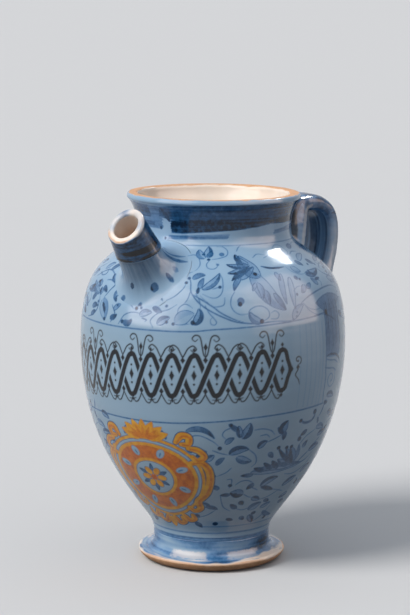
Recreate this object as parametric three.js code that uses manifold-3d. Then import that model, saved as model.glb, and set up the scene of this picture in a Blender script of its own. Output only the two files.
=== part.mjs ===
// Spouted pharmacy jar of tin-glazed earthenware.
// A thrown body stands on a spreading foot. A short spout and a strap handle are luted on with slip.
// Millimetres, +Z up. The origin is on the jar's axis, on the flat underside of the foot.
// The handle is in the +Y half of the YZ plane. The spout points along -Y, turned a little towards +X.

import * as THREE from 'three';
import { mergeVertices } from 'three/addons/utils/BufferGeometryUtils.js';
import Module from 'manifold-3d';

const JAR_HEIGHT = 231;

// Foot
const FOOT_RADIUS = 46.2;
const FOOT_EDGE_RISE = 5.4;
const FOOT_UNDERCUT = 8.6;
const FOOT_SLOPE_RISE = 8.1;
const FOOT_EDGE_ROUND = 3;
const FOOT_BROW_RISE = 1.6;
const FOOT_BEVEL_RISE = 0.8;
const FOOT_BEVEL_INSET = 2.2;
const COLUMN_RADIUS = 36.4;
const COLUMN_RISE = 4.5;

// Body: each rise starts where the one before ends, and the belly's takes what is left of the height
const TURNED_LINE_START = 1.6;
const TURNED_LINE_RISE = 2.6;
const TURNED_LINE_PROUD = 0.6;
const BELLY_RADIUS = 82.6;
const SHOULDER_RADIUS = 66.2;
const SHOULDER_RISE = 50.7;
const SHOULDER_SLOPE_DEG = 42;
const NECK_RADIUS = 47.8;
const NECK_RISE = 20.3;
const LIP_RADIUS = 53.8;
const LIP_RISE = 18.2;
const LIP_ROUND = 2.8;
const LIP_FLAT_OUTER = 52;
const LIP_FLAT_WIDTH = 3;
const LIP_THICKNESS = 7.2;
const LIP_FLARE_DEG = 41;
const WALL = 5.6;
const NECK_WALL = 5;
const FLOOR_THICKNESS = 8;
const FLOOR_RADIUS = 24;

// How far each curve of the outline holds its end tangent, as a share of the rise
const WAIST_HOLD = 0.09;
const BELLY_HOLD = 0.634;
const BELLY_TOP_HOLD = 0.67;
const SHOULDER_HOLD = 0.197;
const THROAT_HOLD = 0.837;
const NECK_HOLD = 0.47;
const LIP_HOLD = 0.268;

// Spout, measured from its mouth down its own axis
const SPOUT_TURN_DEG = 11;
const SPOUT_ELEVATION_DEG = 52;
const SPOUT_LENGTH = 36;
const SPOUT_MOUTH_RADIUS = 12;
const SPOUT_MOUTH_SLANT_DEG = 14;
const SPOUT_LIP_ROUND = 1;
const SPOUT_MOUTH_BORE = 7.9;
const SPOUT_SEAT_BORE = 9.6;
const SPOUT_COLLAR_LENGTH = 21;
const SPOUT_COLLAR_RADIUS = 13.6;
const SPOUT_COLLAR_STEP = 0.6;
const SPOUT_COLLAR_SLANT_DEG = 15;
const SPOUT_FLARE_DEG = 8;
const SPOUT_SKIRT = 12;
const SKIRT_EDGE = 0.5;

// Handle: its strap section, then its centre line
const HANDLE_WIDTH = 29;
const HANDLE_THICKNESS = 12.6;
const HANDLE_ROOT_WIDTH = 35;
const HANDLE_ROOT_THICKNESS = 23;
const HANDLE_END_WIDTH = 34;
const HANDLE_END_THICKNESS = 17;
const HANDLE_SQUARENESS = 2.5;
const HANDLE_DISH = 1.1;
const HANDLE_REACH = 94.8;
const HANDLE_TOP_DROP = 11;
const HANDLE_ROOT_DROP = 30;
const HANDLE_ROOT_LEAN = 4.5;
const HANDLE_ARCH_SPAN = 19.8;
const HANDLE_ARCH_RISE = 22;
const HANDLE_END_DROP = 35;
const HANDLE_END_SINK = 9;

// Gap that the slip fills between two luted pieces, and the hole's cut through the wall
const LUTE_GAP = 0.3;
const CUT_BEYOND_WALL = 7;

// Smoothness
const ROUND_SEGMENTS = 72;
const SPOUT_SEGMENTS = 36;
const SKIRT_ROWS = 5;
const STRAP_SIDES = 20;
const STRAP_ROWS = 32;
const SOLID_DEPTH = 4;

// Heights that follow: up from the rest face, then down from the rim
const COLUMN_Z = FOOT_EDGE_RISE + FOOT_SLOPE_RISE;
const SEAM_Z = COLUMN_Z + COLUMN_RISE;
const TOP_Z = JAR_HEIGHT;
const LIP_Z = TOP_Z - LIP_ROUND;
const NECK_Z = LIP_Z - LIP_RISE;
const SHOULDER_Z = NECK_Z - NECK_RISE;
const BELLY_Z = SHOULDER_Z - SHOULDER_RISE;
const FLOOR_Z = SEAM_Z + FLOOR_THICKNESS;

const radians = THREE.MathUtils.degToRad;
const vec2 = (x, y) => new THREE.Vector2(x, y);
const vec3 = (x, y, z) => new THREE.Vector3(x, y, z);

const wasm = await Module();
wasm.setup();

// Geometry helpers

function welded(geometry) {
  geometry.deleteAttribute('normal');
  geometry.deleteAttribute('uv');
  const merged = mergeVertices(geometry, 1e-4);
  const index = merged.index.array;
  const kept = [];
  for (let i = 0; i < index.length; i += 3) {
    const [a, b, c] = [index[i], index[i + 1], index[i + 2]];
    if (a !== b && b !== c && c !== a) kept.push(a, b, c);
  }
  merged.setIndex(kept);
  merged.computeVertexNormals();
  return merged;
}

function toSolid(geometry) {
  return new wasm.Manifold(new wasm.Mesh({
    numProp: 3,
    vertProperties: new Float32Array(geometry.attributes.position.array),
    triVerts: new Uint32Array(geometry.index.array),
  }));
}

function toGeometry(solid) {
  const mesh = solid.getMesh();
  const geometry = new THREE.BufferGeometry();
  geometry.setAttribute('position', new THREE.BufferAttribute(mesh.vertProperties, 3));
  geometry.setIndex(Array.from(mesh.triVerts));
  geometry.computeVertexNormals();
  return geometry;
}

// Turns an outline of (radius, height) points round the Z axis
function revolve(outline) {
  const lathe = new THREE.LatheGeometry(outline, ROUND_SEGMENTS);
  lathe.rotateX(Math.PI / 2);
  return welded(lathe);
}

function signedVolume(points, index) {
  let sum = 0;
  for (let i = 0; i < index.length; i += 3) {
    const [a, b, c] = [points[index[i]], points[index[i + 1]], points[index[i + 2]]];
    sum += a.dot(b.clone().cross(c));
  }
  return sum;
}

// Skins closed rings of points. A tube is capped at both ends, and a sleeve joins its last ring to its first.
function loft(rings, isSleeve) {
  const sides = rings[0].length;
  const points = rings.flat();
  const index = [];
  const lastRing = isSleeve ? rings.length : rings.length - 1;
  for (let row = 0; row < lastRing; row++) {
    const here = row * sides;
    const next = ((row + 1) % rings.length) * sides;
    for (let side = 0; side < sides; side++) {
      const beside = (side + 1) % sides;
      index.push(here + side, here + beside, next + beside, here + side, next + beside, next + side);
    }
  }
  if (!isSleeve) {
    const end = (rings.length - 1) * sides;
    for (let side = 1; side < sides - 1; side++) {
      index.push(0, side + 1, side);
      index.push(end, end + side, end + side + 1);
    }
  }
  if (signedVolume(points, index) < 0) index.reverse();
  const geometry = new THREE.BufferGeometry().setFromPoints(points);
  geometry.setIndex(index);
  geometry.computeVertexNormals();
  return geometry;
}

// The body's outer outline, from the seam on the foot up to the widest line of the lip

function bodyCurves() {
  const slope = vec2(-Math.cos(radians(SHOULDER_SLOPE_DEG)), Math.sin(radians(SHOULDER_SLOPE_DEG)));
  const flare = vec2(Math.sin(radians(LIP_FLARE_DEG)), Math.cos(radians(LIP_FLARE_DEG)));
  const lineZ = SEAM_Z + TURNED_LINE_RISE;
  const lowerRise = BELLY_Z - lineZ;
  const turnedLine = vec2(COLUMN_RADIUS + TURNED_LINE_PROUD, lineZ);
  const belly = vec2(BELLY_RADIUS, BELLY_Z);
  const shoulder = vec2(SHOULDER_RADIUS, SHOULDER_Z);
  const neck = vec2(NECK_RADIUS, NECK_Z);
  const lip = vec2(LIP_RADIUS, LIP_Z);
  const along = (from, direction, length) => from.clone().addScaledVector(direction, length);
  return [
    [new THREE.CubicBezierCurve(
      turnedLine, vec2(turnedLine.x, lineZ + WAIST_HOLD * lowerRise),
      vec2(BELLY_RADIUS, BELLY_Z - BELLY_HOLD * lowerRise), belly), 13],
    [new THREE.CubicBezierCurve(
      belly, vec2(BELLY_RADIUS, BELLY_Z + BELLY_TOP_HOLD * SHOULDER_RISE),
      along(shoulder, slope, -SHOULDER_HOLD * SHOULDER_RISE), shoulder), 9],
    [new THREE.CubicBezierCurve(
      shoulder, along(shoulder, slope, THROAT_HOLD * NECK_RISE),
      vec2(NECK_RADIUS, NECK_Z - NECK_HOLD * NECK_RISE), neck), 6],
    [new THREE.CubicBezierCurve(
      neck, vec2(NECK_RADIUS, NECK_Z + NECK_HOLD * LIP_RISE),
      along(lip, flare, -LIP_HOLD * LIP_RISE), lip), 6],
  ];
}

// Points of the outer outline with their outward normals
function outerSamples() {
  const samples = [];
  for (const [curve, steps] of bodyCurves()) {
    for (let i = samples.length ? 1 : 0; i <= steps; i++) {
      const tangent = curve.getTangent(i / steps);
      samples.push({ point: curve.getPoint(i / steps), normal: vec2(tangent.y, -tangent.x) });
    }
  }
  return samples;
}

const OUTER = outerSamples();

// Radius of the body's outside at a height
function bodyRadius(z) {
  for (let i = 1; i < OUTER.length; i++) {
    const low = OUTER[i - 1].point;
    const high = OUTER[i].point;
    if (z <= high.y) return THREE.MathUtils.mapLinear(z, low.y, high.y, low.x, high.x);
  }
  return LIP_RADIUS;
}

// The turned line above the seam, as three points of the outline
function turnedLine() {
  return [
    vec2(COLUMN_RADIUS, SEAM_Z),
    vec2(COLUMN_RADIUS, SEAM_Z + TURNED_LINE_START),
  ];
}

// A solid as large as the body's outside with a margin, filled to the axis, to cut what is luted on
function bodyEnvelope(margin) {
  const side = OUTER.map(({ point, normal }) => point.clone().addScaledVector(normal, margin));
  const seam = COLUMN_RADIUS + margin;
  const top = TOP_Z + margin;
  return toSolid(revolve([
    vec2(0, SEAM_Z), vec2(seam, SEAM_Z), vec2(seam, SEAM_Z + TURNED_LINE_START),
    ...side, vec2(LIP_FLAT_OUTER + margin, top), vec2(0, top),
  ]));
}

// Body

function lipTop() {
  const flatInner = LIP_FLAT_OUTER - LIP_FLAT_WIDTH;
  const inside = LIP_RADIUS - LIP_THICKNESS;
  const outerRound = new THREE.QuadraticBezierCurve(
    vec2(LIP_RADIUS, LIP_Z), vec2(LIP_RADIUS, TOP_Z), vec2(LIP_FLAT_OUTER, TOP_Z));
  const innerRound = new THREE.QuadraticBezierCurve(
    vec2(flatInner, TOP_Z), vec2(inside, TOP_Z), vec2(inside, LIP_Z));
  return [...outerRound.getPoints(3).slice(1), ...innerRound.getPoints(3)];
}

// Down the inside: the neck, then the belly a wall's thickness in from the outside, then the floor
function insideWall() {
  const wallAt = (z) => (z > SHOULDER_Z ? NECK_WALL : WALL);
  const wall = OUTER
    .filter((_, i) => i % 2 === 0)
    .map(({ point, normal }) => point.clone().addScaledVector(normal, -wallAt(point.y)))
    .filter((p) => p.y > FLOOR_Z + WALL && p.y < LIP_Z - LIP_ROUND)
    .reverse();
  const last = wall[wall.length - 1];
  const floorCurve = new THREE.QuadraticBezierCurve(
    last, vec2(Math.max(last.x - WALL, FLOOR_RADIUS), FLOOR_Z), vec2(FLOOR_RADIUS, FLOOR_Z));
  return [...wall, ...floorCurve.getPoints(4).slice(1), vec2(0, FLOOR_Z)];
}

function makeBody(spoutHole) {
  const outline = [
    vec2(0, SEAM_Z), ...turnedLine(), ...OUTER.map(({ point }) => point), ...lipTop(), ...insideWall(),
  ];
  return toGeometry(toSolid(revolve(outline)).subtract(spoutHole));
}

// Foot

function makeFoot() {
  const restRadius = FOOT_RADIUS - FOOT_UNDERCUT;
  const browZ = FOOT_EDGE_RISE + FOOT_BROW_RISE;
  const bevel = new THREE.QuadraticBezierCurve(
    vec2(restRadius, 0), vec2(FOOT_RADIUS - FOOT_BEVEL_INSET, FOOT_BEVEL_RISE), vec2(FOOT_RADIUS, FOOT_EDGE_RISE));
  const brow = new THREE.QuadraticBezierCurve(
    vec2(FOOT_RADIUS, FOOT_EDGE_RISE), vec2(FOOT_RADIUS, browZ), vec2(FOOT_RADIUS - FOOT_EDGE_ROUND, browZ));
  const slope = new THREE.QuadraticBezierCurve(
    brow.v2, vec2(COLUMN_RADIUS, browZ), vec2(COLUMN_RADIUS, COLUMN_Z));
  return revolve([
    vec2(0, 0), ...bevel.getPoints(3), ...brow.getPoints(2).slice(1), ...slope.getPoints(3).slice(1),
    vec2(COLUMN_RADIUS, SEAM_Z), vec2(0, SEAM_Z),
  ]);
}

// Spout, in the plane x = 0 and pointing along -Y

const SPOUT_AXIS = vec3(0, -Math.cos(radians(SPOUT_ELEVATION_DEG)), Math.sin(radians(SPOUT_ELEVATION_DEG)));
const SPOUT_OUTWARD = vec3(0, -SPOUT_AXIS.z, SPOUT_AXIS.y);
const SPOUT_SEAT = vec3(0, -SHOULDER_RADIUS, SHOULDER_Z);
const SPOUT_MOUTH = SPOUT_SEAT.clone().addScaledVector(SPOUT_AXIS, SPOUT_LENGTH);

// A point of the spout: depth down the axis from the mouth, distance from the axis, angle round it.
// The depth slants: the mouth is cut lower on its outer side, and the collar ends lower on its inner side.
function spoutPoint(depth, radius, angle) {
  const fromMouth = Math.min(1, depth / SPOUT_COLLAR_LENGTH);
  const lean = THREE.MathUtils.lerp(SPOUT_MOUTH_SLANT_DEG, -SPOUT_COLLAR_SLANT_DEG, fromMouth);
  const slant = Math.tan(radians(lean)) * radius * Math.sin(angle);
  return SPOUT_MOUTH.clone()
    .addScaledVector(SPOUT_AXIS, -depth - slant)
    .addScaledVector(SPOUT_OUTWARD, radius * Math.sin(angle))
    .add(vec3(radius * Math.cos(angle), 0, 0));
}

const angles = (count) => Array.from({ length: count }, (_, i) => (2 * Math.PI * i) / count);
const spoutRing = (depth, radius) => angles(SPOUT_SEGMENTS).map((angle) => spoutPoint(depth, radius, angle));

const coneRadius = (depth) =>
  SPOUT_COLLAR_RADIUS - SPOUT_COLLAR_STEP
  + (depth - SPOUT_COLLAR_LENGTH) * Math.tan(radians(SPOUT_FLARE_DEG));

const offSurface = (point) => Math.hypot(point.x, point.y) - bodyRadius(point.z);

function bodyNormal(point) {
  const step = 0.5;
  const slope = (bodyRadius(point.z + step) - bodyRadius(point.z - step)) / (2 * step);
  const flat = Math.hypot(point.x, point.y);
  return vec3(point.x / flat, point.y / flat, -slope).normalize();
}

// Depth at which the cone meets the shoulder on one side, found by halving
function seatDepth(angle) {
  let above = SPOUT_COLLAR_LENGTH;
  let below = SPOUT_LENGTH + 2 * SPOUT_COLLAR_RADIUS;
  for (let i = 0; i < 30; i++) {
    const middle = (above + below) / 2;
    if (offSurface(spoutPoint(middle, coneRadius(middle), angle)) > LUTE_GAP) above = middle;
    else below = middle;
  }
  return above;
}

// The slip skirt on one side: a curve that leaves the cone and lies down on the shoulder
function skirtPoints(angle) {
  const depth = seatDepth(angle);
  const corner = spoutPoint(depth, coneRadius(depth), angle);
  const startDepth = Math.max(SPOUT_COLLAR_LENGTH + SKIRT_EDGE, depth - SPOUT_SKIRT);
  const start = spoutPoint(startDepth, coneRadius(startDepth), angle);
  const normal = bodyNormal(corner);
  const away = corner.clone().sub(start.clone().lerp(spoutPoint(depth, 0, angle), 0.5));
  away.addScaledVector(normal, -away.dot(normal)).normalize();
  const end = corner.clone().addScaledVector(away, SPOUT_SKIRT);
  const spread = (bodyRadius(end.z) + LUTE_GAP + SKIRT_EDGE) / Math.hypot(end.x, end.y);
  end.set(end.x * spread, end.y * spread, end.z);
  const curve = new THREE.QuadraticBezierCurve3(start, corner, end);
  const buried = end.clone().addScaledVector(bodyNormal(end), -SOLID_DEPTH);
  return [...curve.getPoints(SKIRT_ROWS), buried];
}

function makeSpout(envelope) {
  const lipInner = SPOUT_MOUTH_BORE + SPOUT_LIP_ROUND / 2;
  const skirts = angles(SPOUT_SEGMENTS).map(skirtPoints);
  const skirtRings = skirts[0].map((_, row) => skirts.map((column) => column[row]));
  const deep = SPOUT_LENGTH + CUT_BEYOND_WALL + WALL;
  const rings = [
    spoutRing(0, SPOUT_MOUTH_RADIUS - SPOUT_LIP_ROUND),
    spoutRing(0.3 * SPOUT_LIP_ROUND, SPOUT_MOUTH_RADIUS - 0.3 * SPOUT_LIP_ROUND),
    spoutRing(SPOUT_LIP_ROUND, SPOUT_MOUTH_RADIUS),
    spoutRing(0.6 * SPOUT_COLLAR_LENGTH, (SPOUT_MOUTH_RADIUS + SPOUT_COLLAR_RADIUS) / 2),
    spoutRing(SPOUT_COLLAR_LENGTH - SPOUT_COLLAR_STEP, SPOUT_COLLAR_RADIUS),
    spoutRing(SPOUT_COLLAR_LENGTH, coneRadius(SPOUT_COLLAR_LENGTH)),
    ...skirtRings,
    spoutRing(deep, SPOUT_SEAT_BORE),
    spoutRing(SPOUT_COLLAR_LENGTH, SPOUT_SEAT_BORE),
    spoutRing(SPOUT_LIP_ROUND, SPOUT_MOUTH_BORE),
    spoutRing(0, lipInner),
  ];
  return toGeometry(toSolid(loft(rings, true)).subtract(envelope));
}

// The hole through the shoulder, in line with the spout's bore
function makeSpoutHole() {
  const shallow = SPOUT_LENGTH - 2 * WALL;
  const deep = SPOUT_LENGTH + CUT_BEYOND_WALL + WALL;
  const drill = loft([spoutRing(shallow, SPOUT_SEAT_BORE), spoutRing(deep, SPOUT_SEAT_BORE)], false);
  drill.rotateZ(radians(SPOUT_TURN_DEG));
  return toSolid(drill);
}

// Handle, in the plane x = 0 on the +Y side

// Centre line as (distance from the axis, height, share of the root's fullness, share of the end's fullness).
// It stands on the neck and shoulder, arches over, and comes down into the belly's top.
function handleStations() {
  const top = TOP_Z - HANDLE_TOP_DROP;
  const rootY = NECK_RADIUS + HANDLE_ROOT_THICKNESS / 2;
  const archY = HANDLE_REACH - HANDLE_ARCH_SPAN;
  const archZ = top - HANDLE_ARCH_RISE;
  const endZ = SHOULDER_Z - HANDLE_END_DROP;
  const root = [
    [rootY - HANDLE_ROOT_LEAN / 2, NECK_Z - HANDLE_ROOT_DROP, 1, 0],
    [rootY - HANDLE_ROOT_LEAN / 4, NECK_Z - 0.6 * HANDLE_ROOT_DROP, 1, 0],
    [rootY, NECK_Z - 0.3 * HANDLE_ROOT_DROP, 1, 0],
    [rootY + HANDLE_ROOT_LEAN / 4, NECK_Z, 1, 0],
    [rootY + HANDLE_ROOT_LEAN, THREE.MathUtils.lerp(NECK_Z, top, 0.7), 0.75, 0],
    [THREE.MathUtils.lerp(rootY, archY, 0.7), top, 0.15, 0],
  ];
  const archPower = 2 / HANDLE_SQUARENESS;
  const arch = [70, 45, 22, 0].map((degrees) => [
    archY + HANDLE_ARCH_SPAN * Math.cos(radians(degrees)) ** archPower,
    archZ + HANDLE_ARCH_RISE * Math.sin(radians(degrees)) ** archPower,
    0, 0,
  ]);
  const reach = vec2(HANDLE_REACH, archZ);
  const end = vec2(bodyRadius(endZ) - HANDLE_END_SINK, endZ);
  const fall = new THREE.QuadraticBezierCurve(reach, vec2(reach.x, (reach.y + end.y) / 2), end);
  const ends = fall.getPoints(5).slice(1).map(({ x, y }, i) => [x, y, 0, [0, 0.1, 0.6, 1, 1][i]]);
  return [...root, ...arch, ...ends];
}

// One strap section: rounded sides, and a shallow dish pressed along the outer face
function strapSection(centre, tangent, width, thickness) {
  const across = vec3(1, 0, 0);
  const through = tangent.clone().cross(across).normalize();
  const power = 2 / HANDLE_SQUARENESS;
  return angles(STRAP_SIDES).map((angle) => {
    const [c, s] = [Math.cos(angle), Math.sin(angle)];
    const sideways = Math.sign(c) * Math.abs(c) ** power;
    const dish = s > 0 ? HANDLE_DISH * (1 - sideways ** 2) * s : 0;
    const outward = (thickness / 2) * Math.sign(s) * Math.abs(s) ** power - dish;
    return centre.clone().addScaledVector(across, (width / 2) * sideways).addScaledVector(through, -outward);
  });
}

function makeHandle(envelope) {
  const stations = handleStations();
  const line = new THREE.CatmullRomCurve3(stations.map(([y, z]) => vec3(0, y, z)));
  const fullness = new THREE.CatmullRomCurve3(stations.map(([, , root, end]) => vec3(root, end, 0)));
  const rings = [];
  for (let row = 0; row <= STRAP_ROWS; row++) {
    const t = row / STRAP_ROWS;
    const { x: root, y: end } = fullness.getPoint(t);
    const width = HANDLE_WIDTH + root * (HANDLE_ROOT_WIDTH - HANDLE_WIDTH)
      + end * (HANDLE_END_WIDTH - HANDLE_WIDTH);
    const thickness = HANDLE_THICKNESS + root * (HANDLE_ROOT_THICKNESS - HANDLE_THICKNESS)
      + end * (HANDLE_END_THICKNESS - HANDLE_THICKNESS);
    rings.push(strapSection(line.getPoint(t), line.getTangent(t), width, thickness));
  }
  return toGeometry(toSolid(loft(rings, false)).subtract(envelope));
}

// Assembly

function mesh(name, geometry, color, roughness) {
  const part = new THREE.Mesh(geometry, new THREE.MeshStandardMaterial({ color, roughness, metalness: 0 }));
  part.name = name;
  return part;
}

const envelope = bodyEnvelope(LUTE_GAP);
const jar = new THREE.Group();
jar.add(mesh('foot', makeFoot(), 0x9db4c6, 0.3));
jar.add(mesh('body', makeBody(makeSpoutHole()), 0xa9c1d4, 0.25));
jar.add(mesh('handle', makeHandle(envelope), 0x6f8ea8, 0.25));

const spoutMount = new THREE.Group();
spoutMount.rotation.z = radians(SPOUT_TURN_DEG);
spoutMount.add(mesh('spout', makeSpout(envelope), 0x4b6a86, 0.3));
jar.add(spoutMount);

export default jar;
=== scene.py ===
"""A spouted pharmacy jar of tin-glazed earthenware, painted in blue, yellow and black.

Sizes are millimetres in the makers' functions and metres in Blender. Angles round the jar are degrees
from the side that faces the camera, positive to its right. The spout is at SPOUT_VIEW_DEG.
"""

from math import cos, pi, radians, sin, tan

import bpy
import numpy as np
from mathutils import Matrix, Vector


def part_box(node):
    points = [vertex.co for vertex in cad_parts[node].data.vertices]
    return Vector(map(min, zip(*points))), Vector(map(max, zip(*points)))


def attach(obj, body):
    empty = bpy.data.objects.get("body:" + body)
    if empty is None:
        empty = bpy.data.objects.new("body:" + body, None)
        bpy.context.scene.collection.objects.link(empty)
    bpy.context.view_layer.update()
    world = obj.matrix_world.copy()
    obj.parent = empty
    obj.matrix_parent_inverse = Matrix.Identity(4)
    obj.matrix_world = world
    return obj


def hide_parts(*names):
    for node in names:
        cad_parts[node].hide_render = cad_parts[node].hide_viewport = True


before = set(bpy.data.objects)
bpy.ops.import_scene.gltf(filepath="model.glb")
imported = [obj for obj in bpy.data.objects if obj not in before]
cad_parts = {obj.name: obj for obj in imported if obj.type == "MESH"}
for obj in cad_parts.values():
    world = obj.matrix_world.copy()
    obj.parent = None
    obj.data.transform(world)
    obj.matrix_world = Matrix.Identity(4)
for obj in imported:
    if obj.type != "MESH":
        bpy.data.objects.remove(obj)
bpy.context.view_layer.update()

MM = 0.001
body_low, body_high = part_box("body")
_, foot_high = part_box("foot")

# Body outline
TOP_Z = body_high.z / MM
SEAM_Z = body_low.z / MM
BELLY_RADIUS = body_high.x / MM
COLUMN_RADIUS = 36.4
TURNED_LINE_START = 1.6
TURNED_LINE_RISE = 2.6
TURNED_LINE_PROUD = 0.6
SHOULDER_RADIUS = 66.2
SHOULDER_RISE = 50.7
SHOULDER_SLOPE_DEG = 42
NECK_RADIUS = 47.8
NECK_RISE = 20.3
LIP_RADIUS = 53.8
LIP_RISE = 18.2
LIP_ROUND = 2.8
LIP_FLAT_OUTER = 52
LIP_FLAT_WIDTH = 3
LIP_THICKNESS = 7.2
LIP_FLARE_DEG = 41
WALL = 5.6
NECK_WALL = 5
FLOOR_THICKNESS = 8
FLOOR_RADIUS = 24
WAIST_HOLD = 0.09
BELLY_HOLD = 0.634
BELLY_TOP_HOLD = 0.67
SHOULDER_HOLD = 0.197
THROAT_HOLD = 0.837
NECK_HOLD = 0.47
LIP_HOLD = 0.268

LIP_Z = TOP_Z - LIP_ROUND
NECK_Z = LIP_Z - LIP_RISE
SHOULDER_Z = NECK_Z - NECK_RISE
BELLY_Z = SHOULDER_Z - SHOULDER_RISE
FLOOR_Z = SEAM_Z + FLOOR_THICKNESS

# The thrown wall's unevenness, the height over which it starts, and the lip's rows with the inside's glaze
BODY_RINGS = 0.10
BODY_WAVES = 0.16
RIPPLE_INSET = 0.06
RIPPLE_FADE = 6
INNER_LIP_ROWS = 10

# Foot outline
FOOT_RADIUS = foot_high.x / MM
FOOT_EDGE_RISE = 5.4
FOOT_UNDERCUT = 8.6
FOOT_EDGE_ROUND = 3
FOOT_BROW_RISE = 1.6
FOOT_BEVEL_RISE = 0.8
FOOT_BEVEL_INSET = 2.2
COLUMN_Z = 13.5
FOOT_REST_WIDTH = 4
FOOT_HOLLOW_RISE = 0.6
FOOT_DENTS = 0.35
FOOT_DENT_RADIUS = 40

# Spout, measured from its mouth down its own axis
SPOUT_TURN_DEG = 11
SPOUT_ELEVATION_DEG = 52
SPOUT_LENGTH = 36
SPOUT_MOUTH_RADIUS = 12
SPOUT_MOUTH_SLANT_DEG = 14
SPOUT_MOUTH_BORE = 7.9
SPOUT_SEAT_BORE = 9.6
SPOUT_COLLAR_LENGTH = 21
SPOUT_COLLAR_RADIUS = 13.6
SPOUT_COLLAR_STEP = 0.6
SPOUT_COLLAR_SLANT_DEG = 15
SPOUT_FLARE_DEG = 8
SPOUT_SKIRT = 12
SKIRT_EDGE = 0.5
SKIRT_SINK = 0.15
SPOUT_LIP_ROUND = 1.8
SPOUT_FLAT_MIDDLE = (SPOUT_MOUTH_RADIUS + SPOUT_MOUTH_BORE) / 2
SPOUT_STEP_LENGTH = 0.3
SPOUT_BORE_ROUND = 1.5
SPOUT_BORE_FLARE = 0.6
SPOUT_BORE_GAP = 0.15
SPOUT_BURIED = 2.5
SPOUT_UNEVEN = 0.14
# How far under the body's surface the rings of the hole's tube are
HOLE_RINGS = (1.0, 3.0, 5.0, 7.4)

# Handle
HANDLE_WIDTH = 29
HANDLE_THICKNESS = 12.6
HANDLE_ROOT_WIDTH = 35
HANDLE_ROOT_THICKNESS = 23
HANDLE_END_WIDTH = 34
HANDLE_END_THICKNESS = 17
HANDLE_SQUARENESS = 2.5
HANDLE_DISH = 1.1
HANDLE_REACH = 94.8
HANDLE_TOP_DROP = 11
HANDLE_ROOT_DROP = 30
HANDLE_ROOT_LEAN = 4.5
HANDLE_ARCH_SPAN = 19.8
HANDLE_ARCH_RISE = 22
HANDLE_END_DROP = 35
HANDLE_END_SINK = 9
HANDLE_UNEVEN = 0.22
FILLET = 5.0
FILLET_SINK = 1.5

# Camera: the photograph's frame and view
FRAME_HEIGHT_PX = 615
FOCAL_PX = 2100
CAMERA_AZIMUTH_DEG = 47
CAMERA_DISTANCE = 1292.6
CAMERA_HEIGHT = 364.1
CAMERA_LEFT = 4.99
CAMERA_PITCH_DEG = 9.04
CAMERA_ROLL_DEG = 0.40

# Fineness of the surfaces: points round and along them, and the mm between rows
COLUMNS = 1080
FOOT_COLUMNS = 720
SPOUT_COLUMNS = 360
SKIRT_ROWS = 44
BORE_ROWS = 30
HOLE_COLUMNS = 72
HANDLE_COLUMNS = 144
HANDLE_ROWS = 260
CELL = 0.5
INSIDE_CELL = 1.6
FLOOR_CELL = 5

# Paint: how soft its edges are, and the sizes that the spout and the strap are taken to have for it
EDGE_SOFTNESS = 0.55
SPOUT_PAINT_RADIUS = 13.0
SPOUT_PAINT_STRETCH = 3**0.5
HANDLE_GIRTH = 2.6

VIEW_WORLD_DEG = CAMERA_AZIMUTH_DEG - 90
SPOUT_WORLD_DEG = SPOUT_TURN_DEG - 90
SPOUT_VIEW_DEG = SPOUT_WORLD_DEG - VIEW_WORLD_DEG


# Outline curves

def bezier(points, count):
    """Points of a Bezier curve with 3 or 4 control points."""
    t = np.linspace(0, 1, count)[:, None]
    points = [np.array(p, float) for p in points]
    while len(points) > 1:
        points = [a + (b - a) * t for a, b in zip(points[:-1], points[1:])]
    return points[0]


def outer_curves(count=300):
    """The body's outside, from the turned line up to the widest line of the lip."""
    slope = np.array([-cos(radians(SHOULDER_SLOPE_DEG)), sin(radians(SHOULDER_SLOPE_DEG))])
    flare = np.array([sin(radians(LIP_FLARE_DEG)), cos(radians(LIP_FLARE_DEG))])
    line_z = SEAM_Z + TURNED_LINE_RISE
    rise = BELLY_Z - line_z
    waist = (COLUMN_RADIUS + TURNED_LINE_PROUD, line_z)
    belly = (BELLY_RADIUS, BELLY_Z)
    shoulder = np.array([SHOULDER_RADIUS, SHOULDER_Z])
    neck = (NECK_RADIUS, NECK_Z)
    lip = np.array([LIP_RADIUS, LIP_Z])
    return np.vstack([
        bezier([waist, (waist[0], line_z + WAIST_HOLD * rise),
                (BELLY_RADIUS, BELLY_Z - BELLY_HOLD * rise), belly], count),
        bezier([belly, (BELLY_RADIUS, BELLY_Z + BELLY_TOP_HOLD * SHOULDER_RISE),
                shoulder - slope * SHOULDER_HOLD * SHOULDER_RISE, shoulder], count)[1:],
        bezier([shoulder, shoulder + slope * THROAT_HOLD * NECK_RISE,
                (NECK_RADIUS, NECK_Z - NECK_HOLD * NECK_RISE), neck], count)[1:],
        bezier([neck, (NECK_RADIUS, NECK_Z + NECK_HOLD * LIP_RISE),
                lip - flare * LIP_HOLD * LIP_RISE, lip], count)[1:],
    ])


OUTER = outer_curves()


def body_radius(z):
    return np.interp(z, OUTER[:, 1], OUTER[:, 0])


def lip_top():
    flat_inner = LIP_FLAT_OUTER - LIP_FLAT_WIDTH
    inside = LIP_RADIUS - LIP_THICKNESS
    return np.vstack([
        bezier([(LIP_RADIUS, LIP_Z), (LIP_RADIUS, TOP_Z), (LIP_FLAT_OUTER, TOP_Z)], 30)[1:],
        bezier([(flat_inner, TOP_Z), (inside, TOP_Z), (inside, LIP_Z)], 30),
    ])


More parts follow.
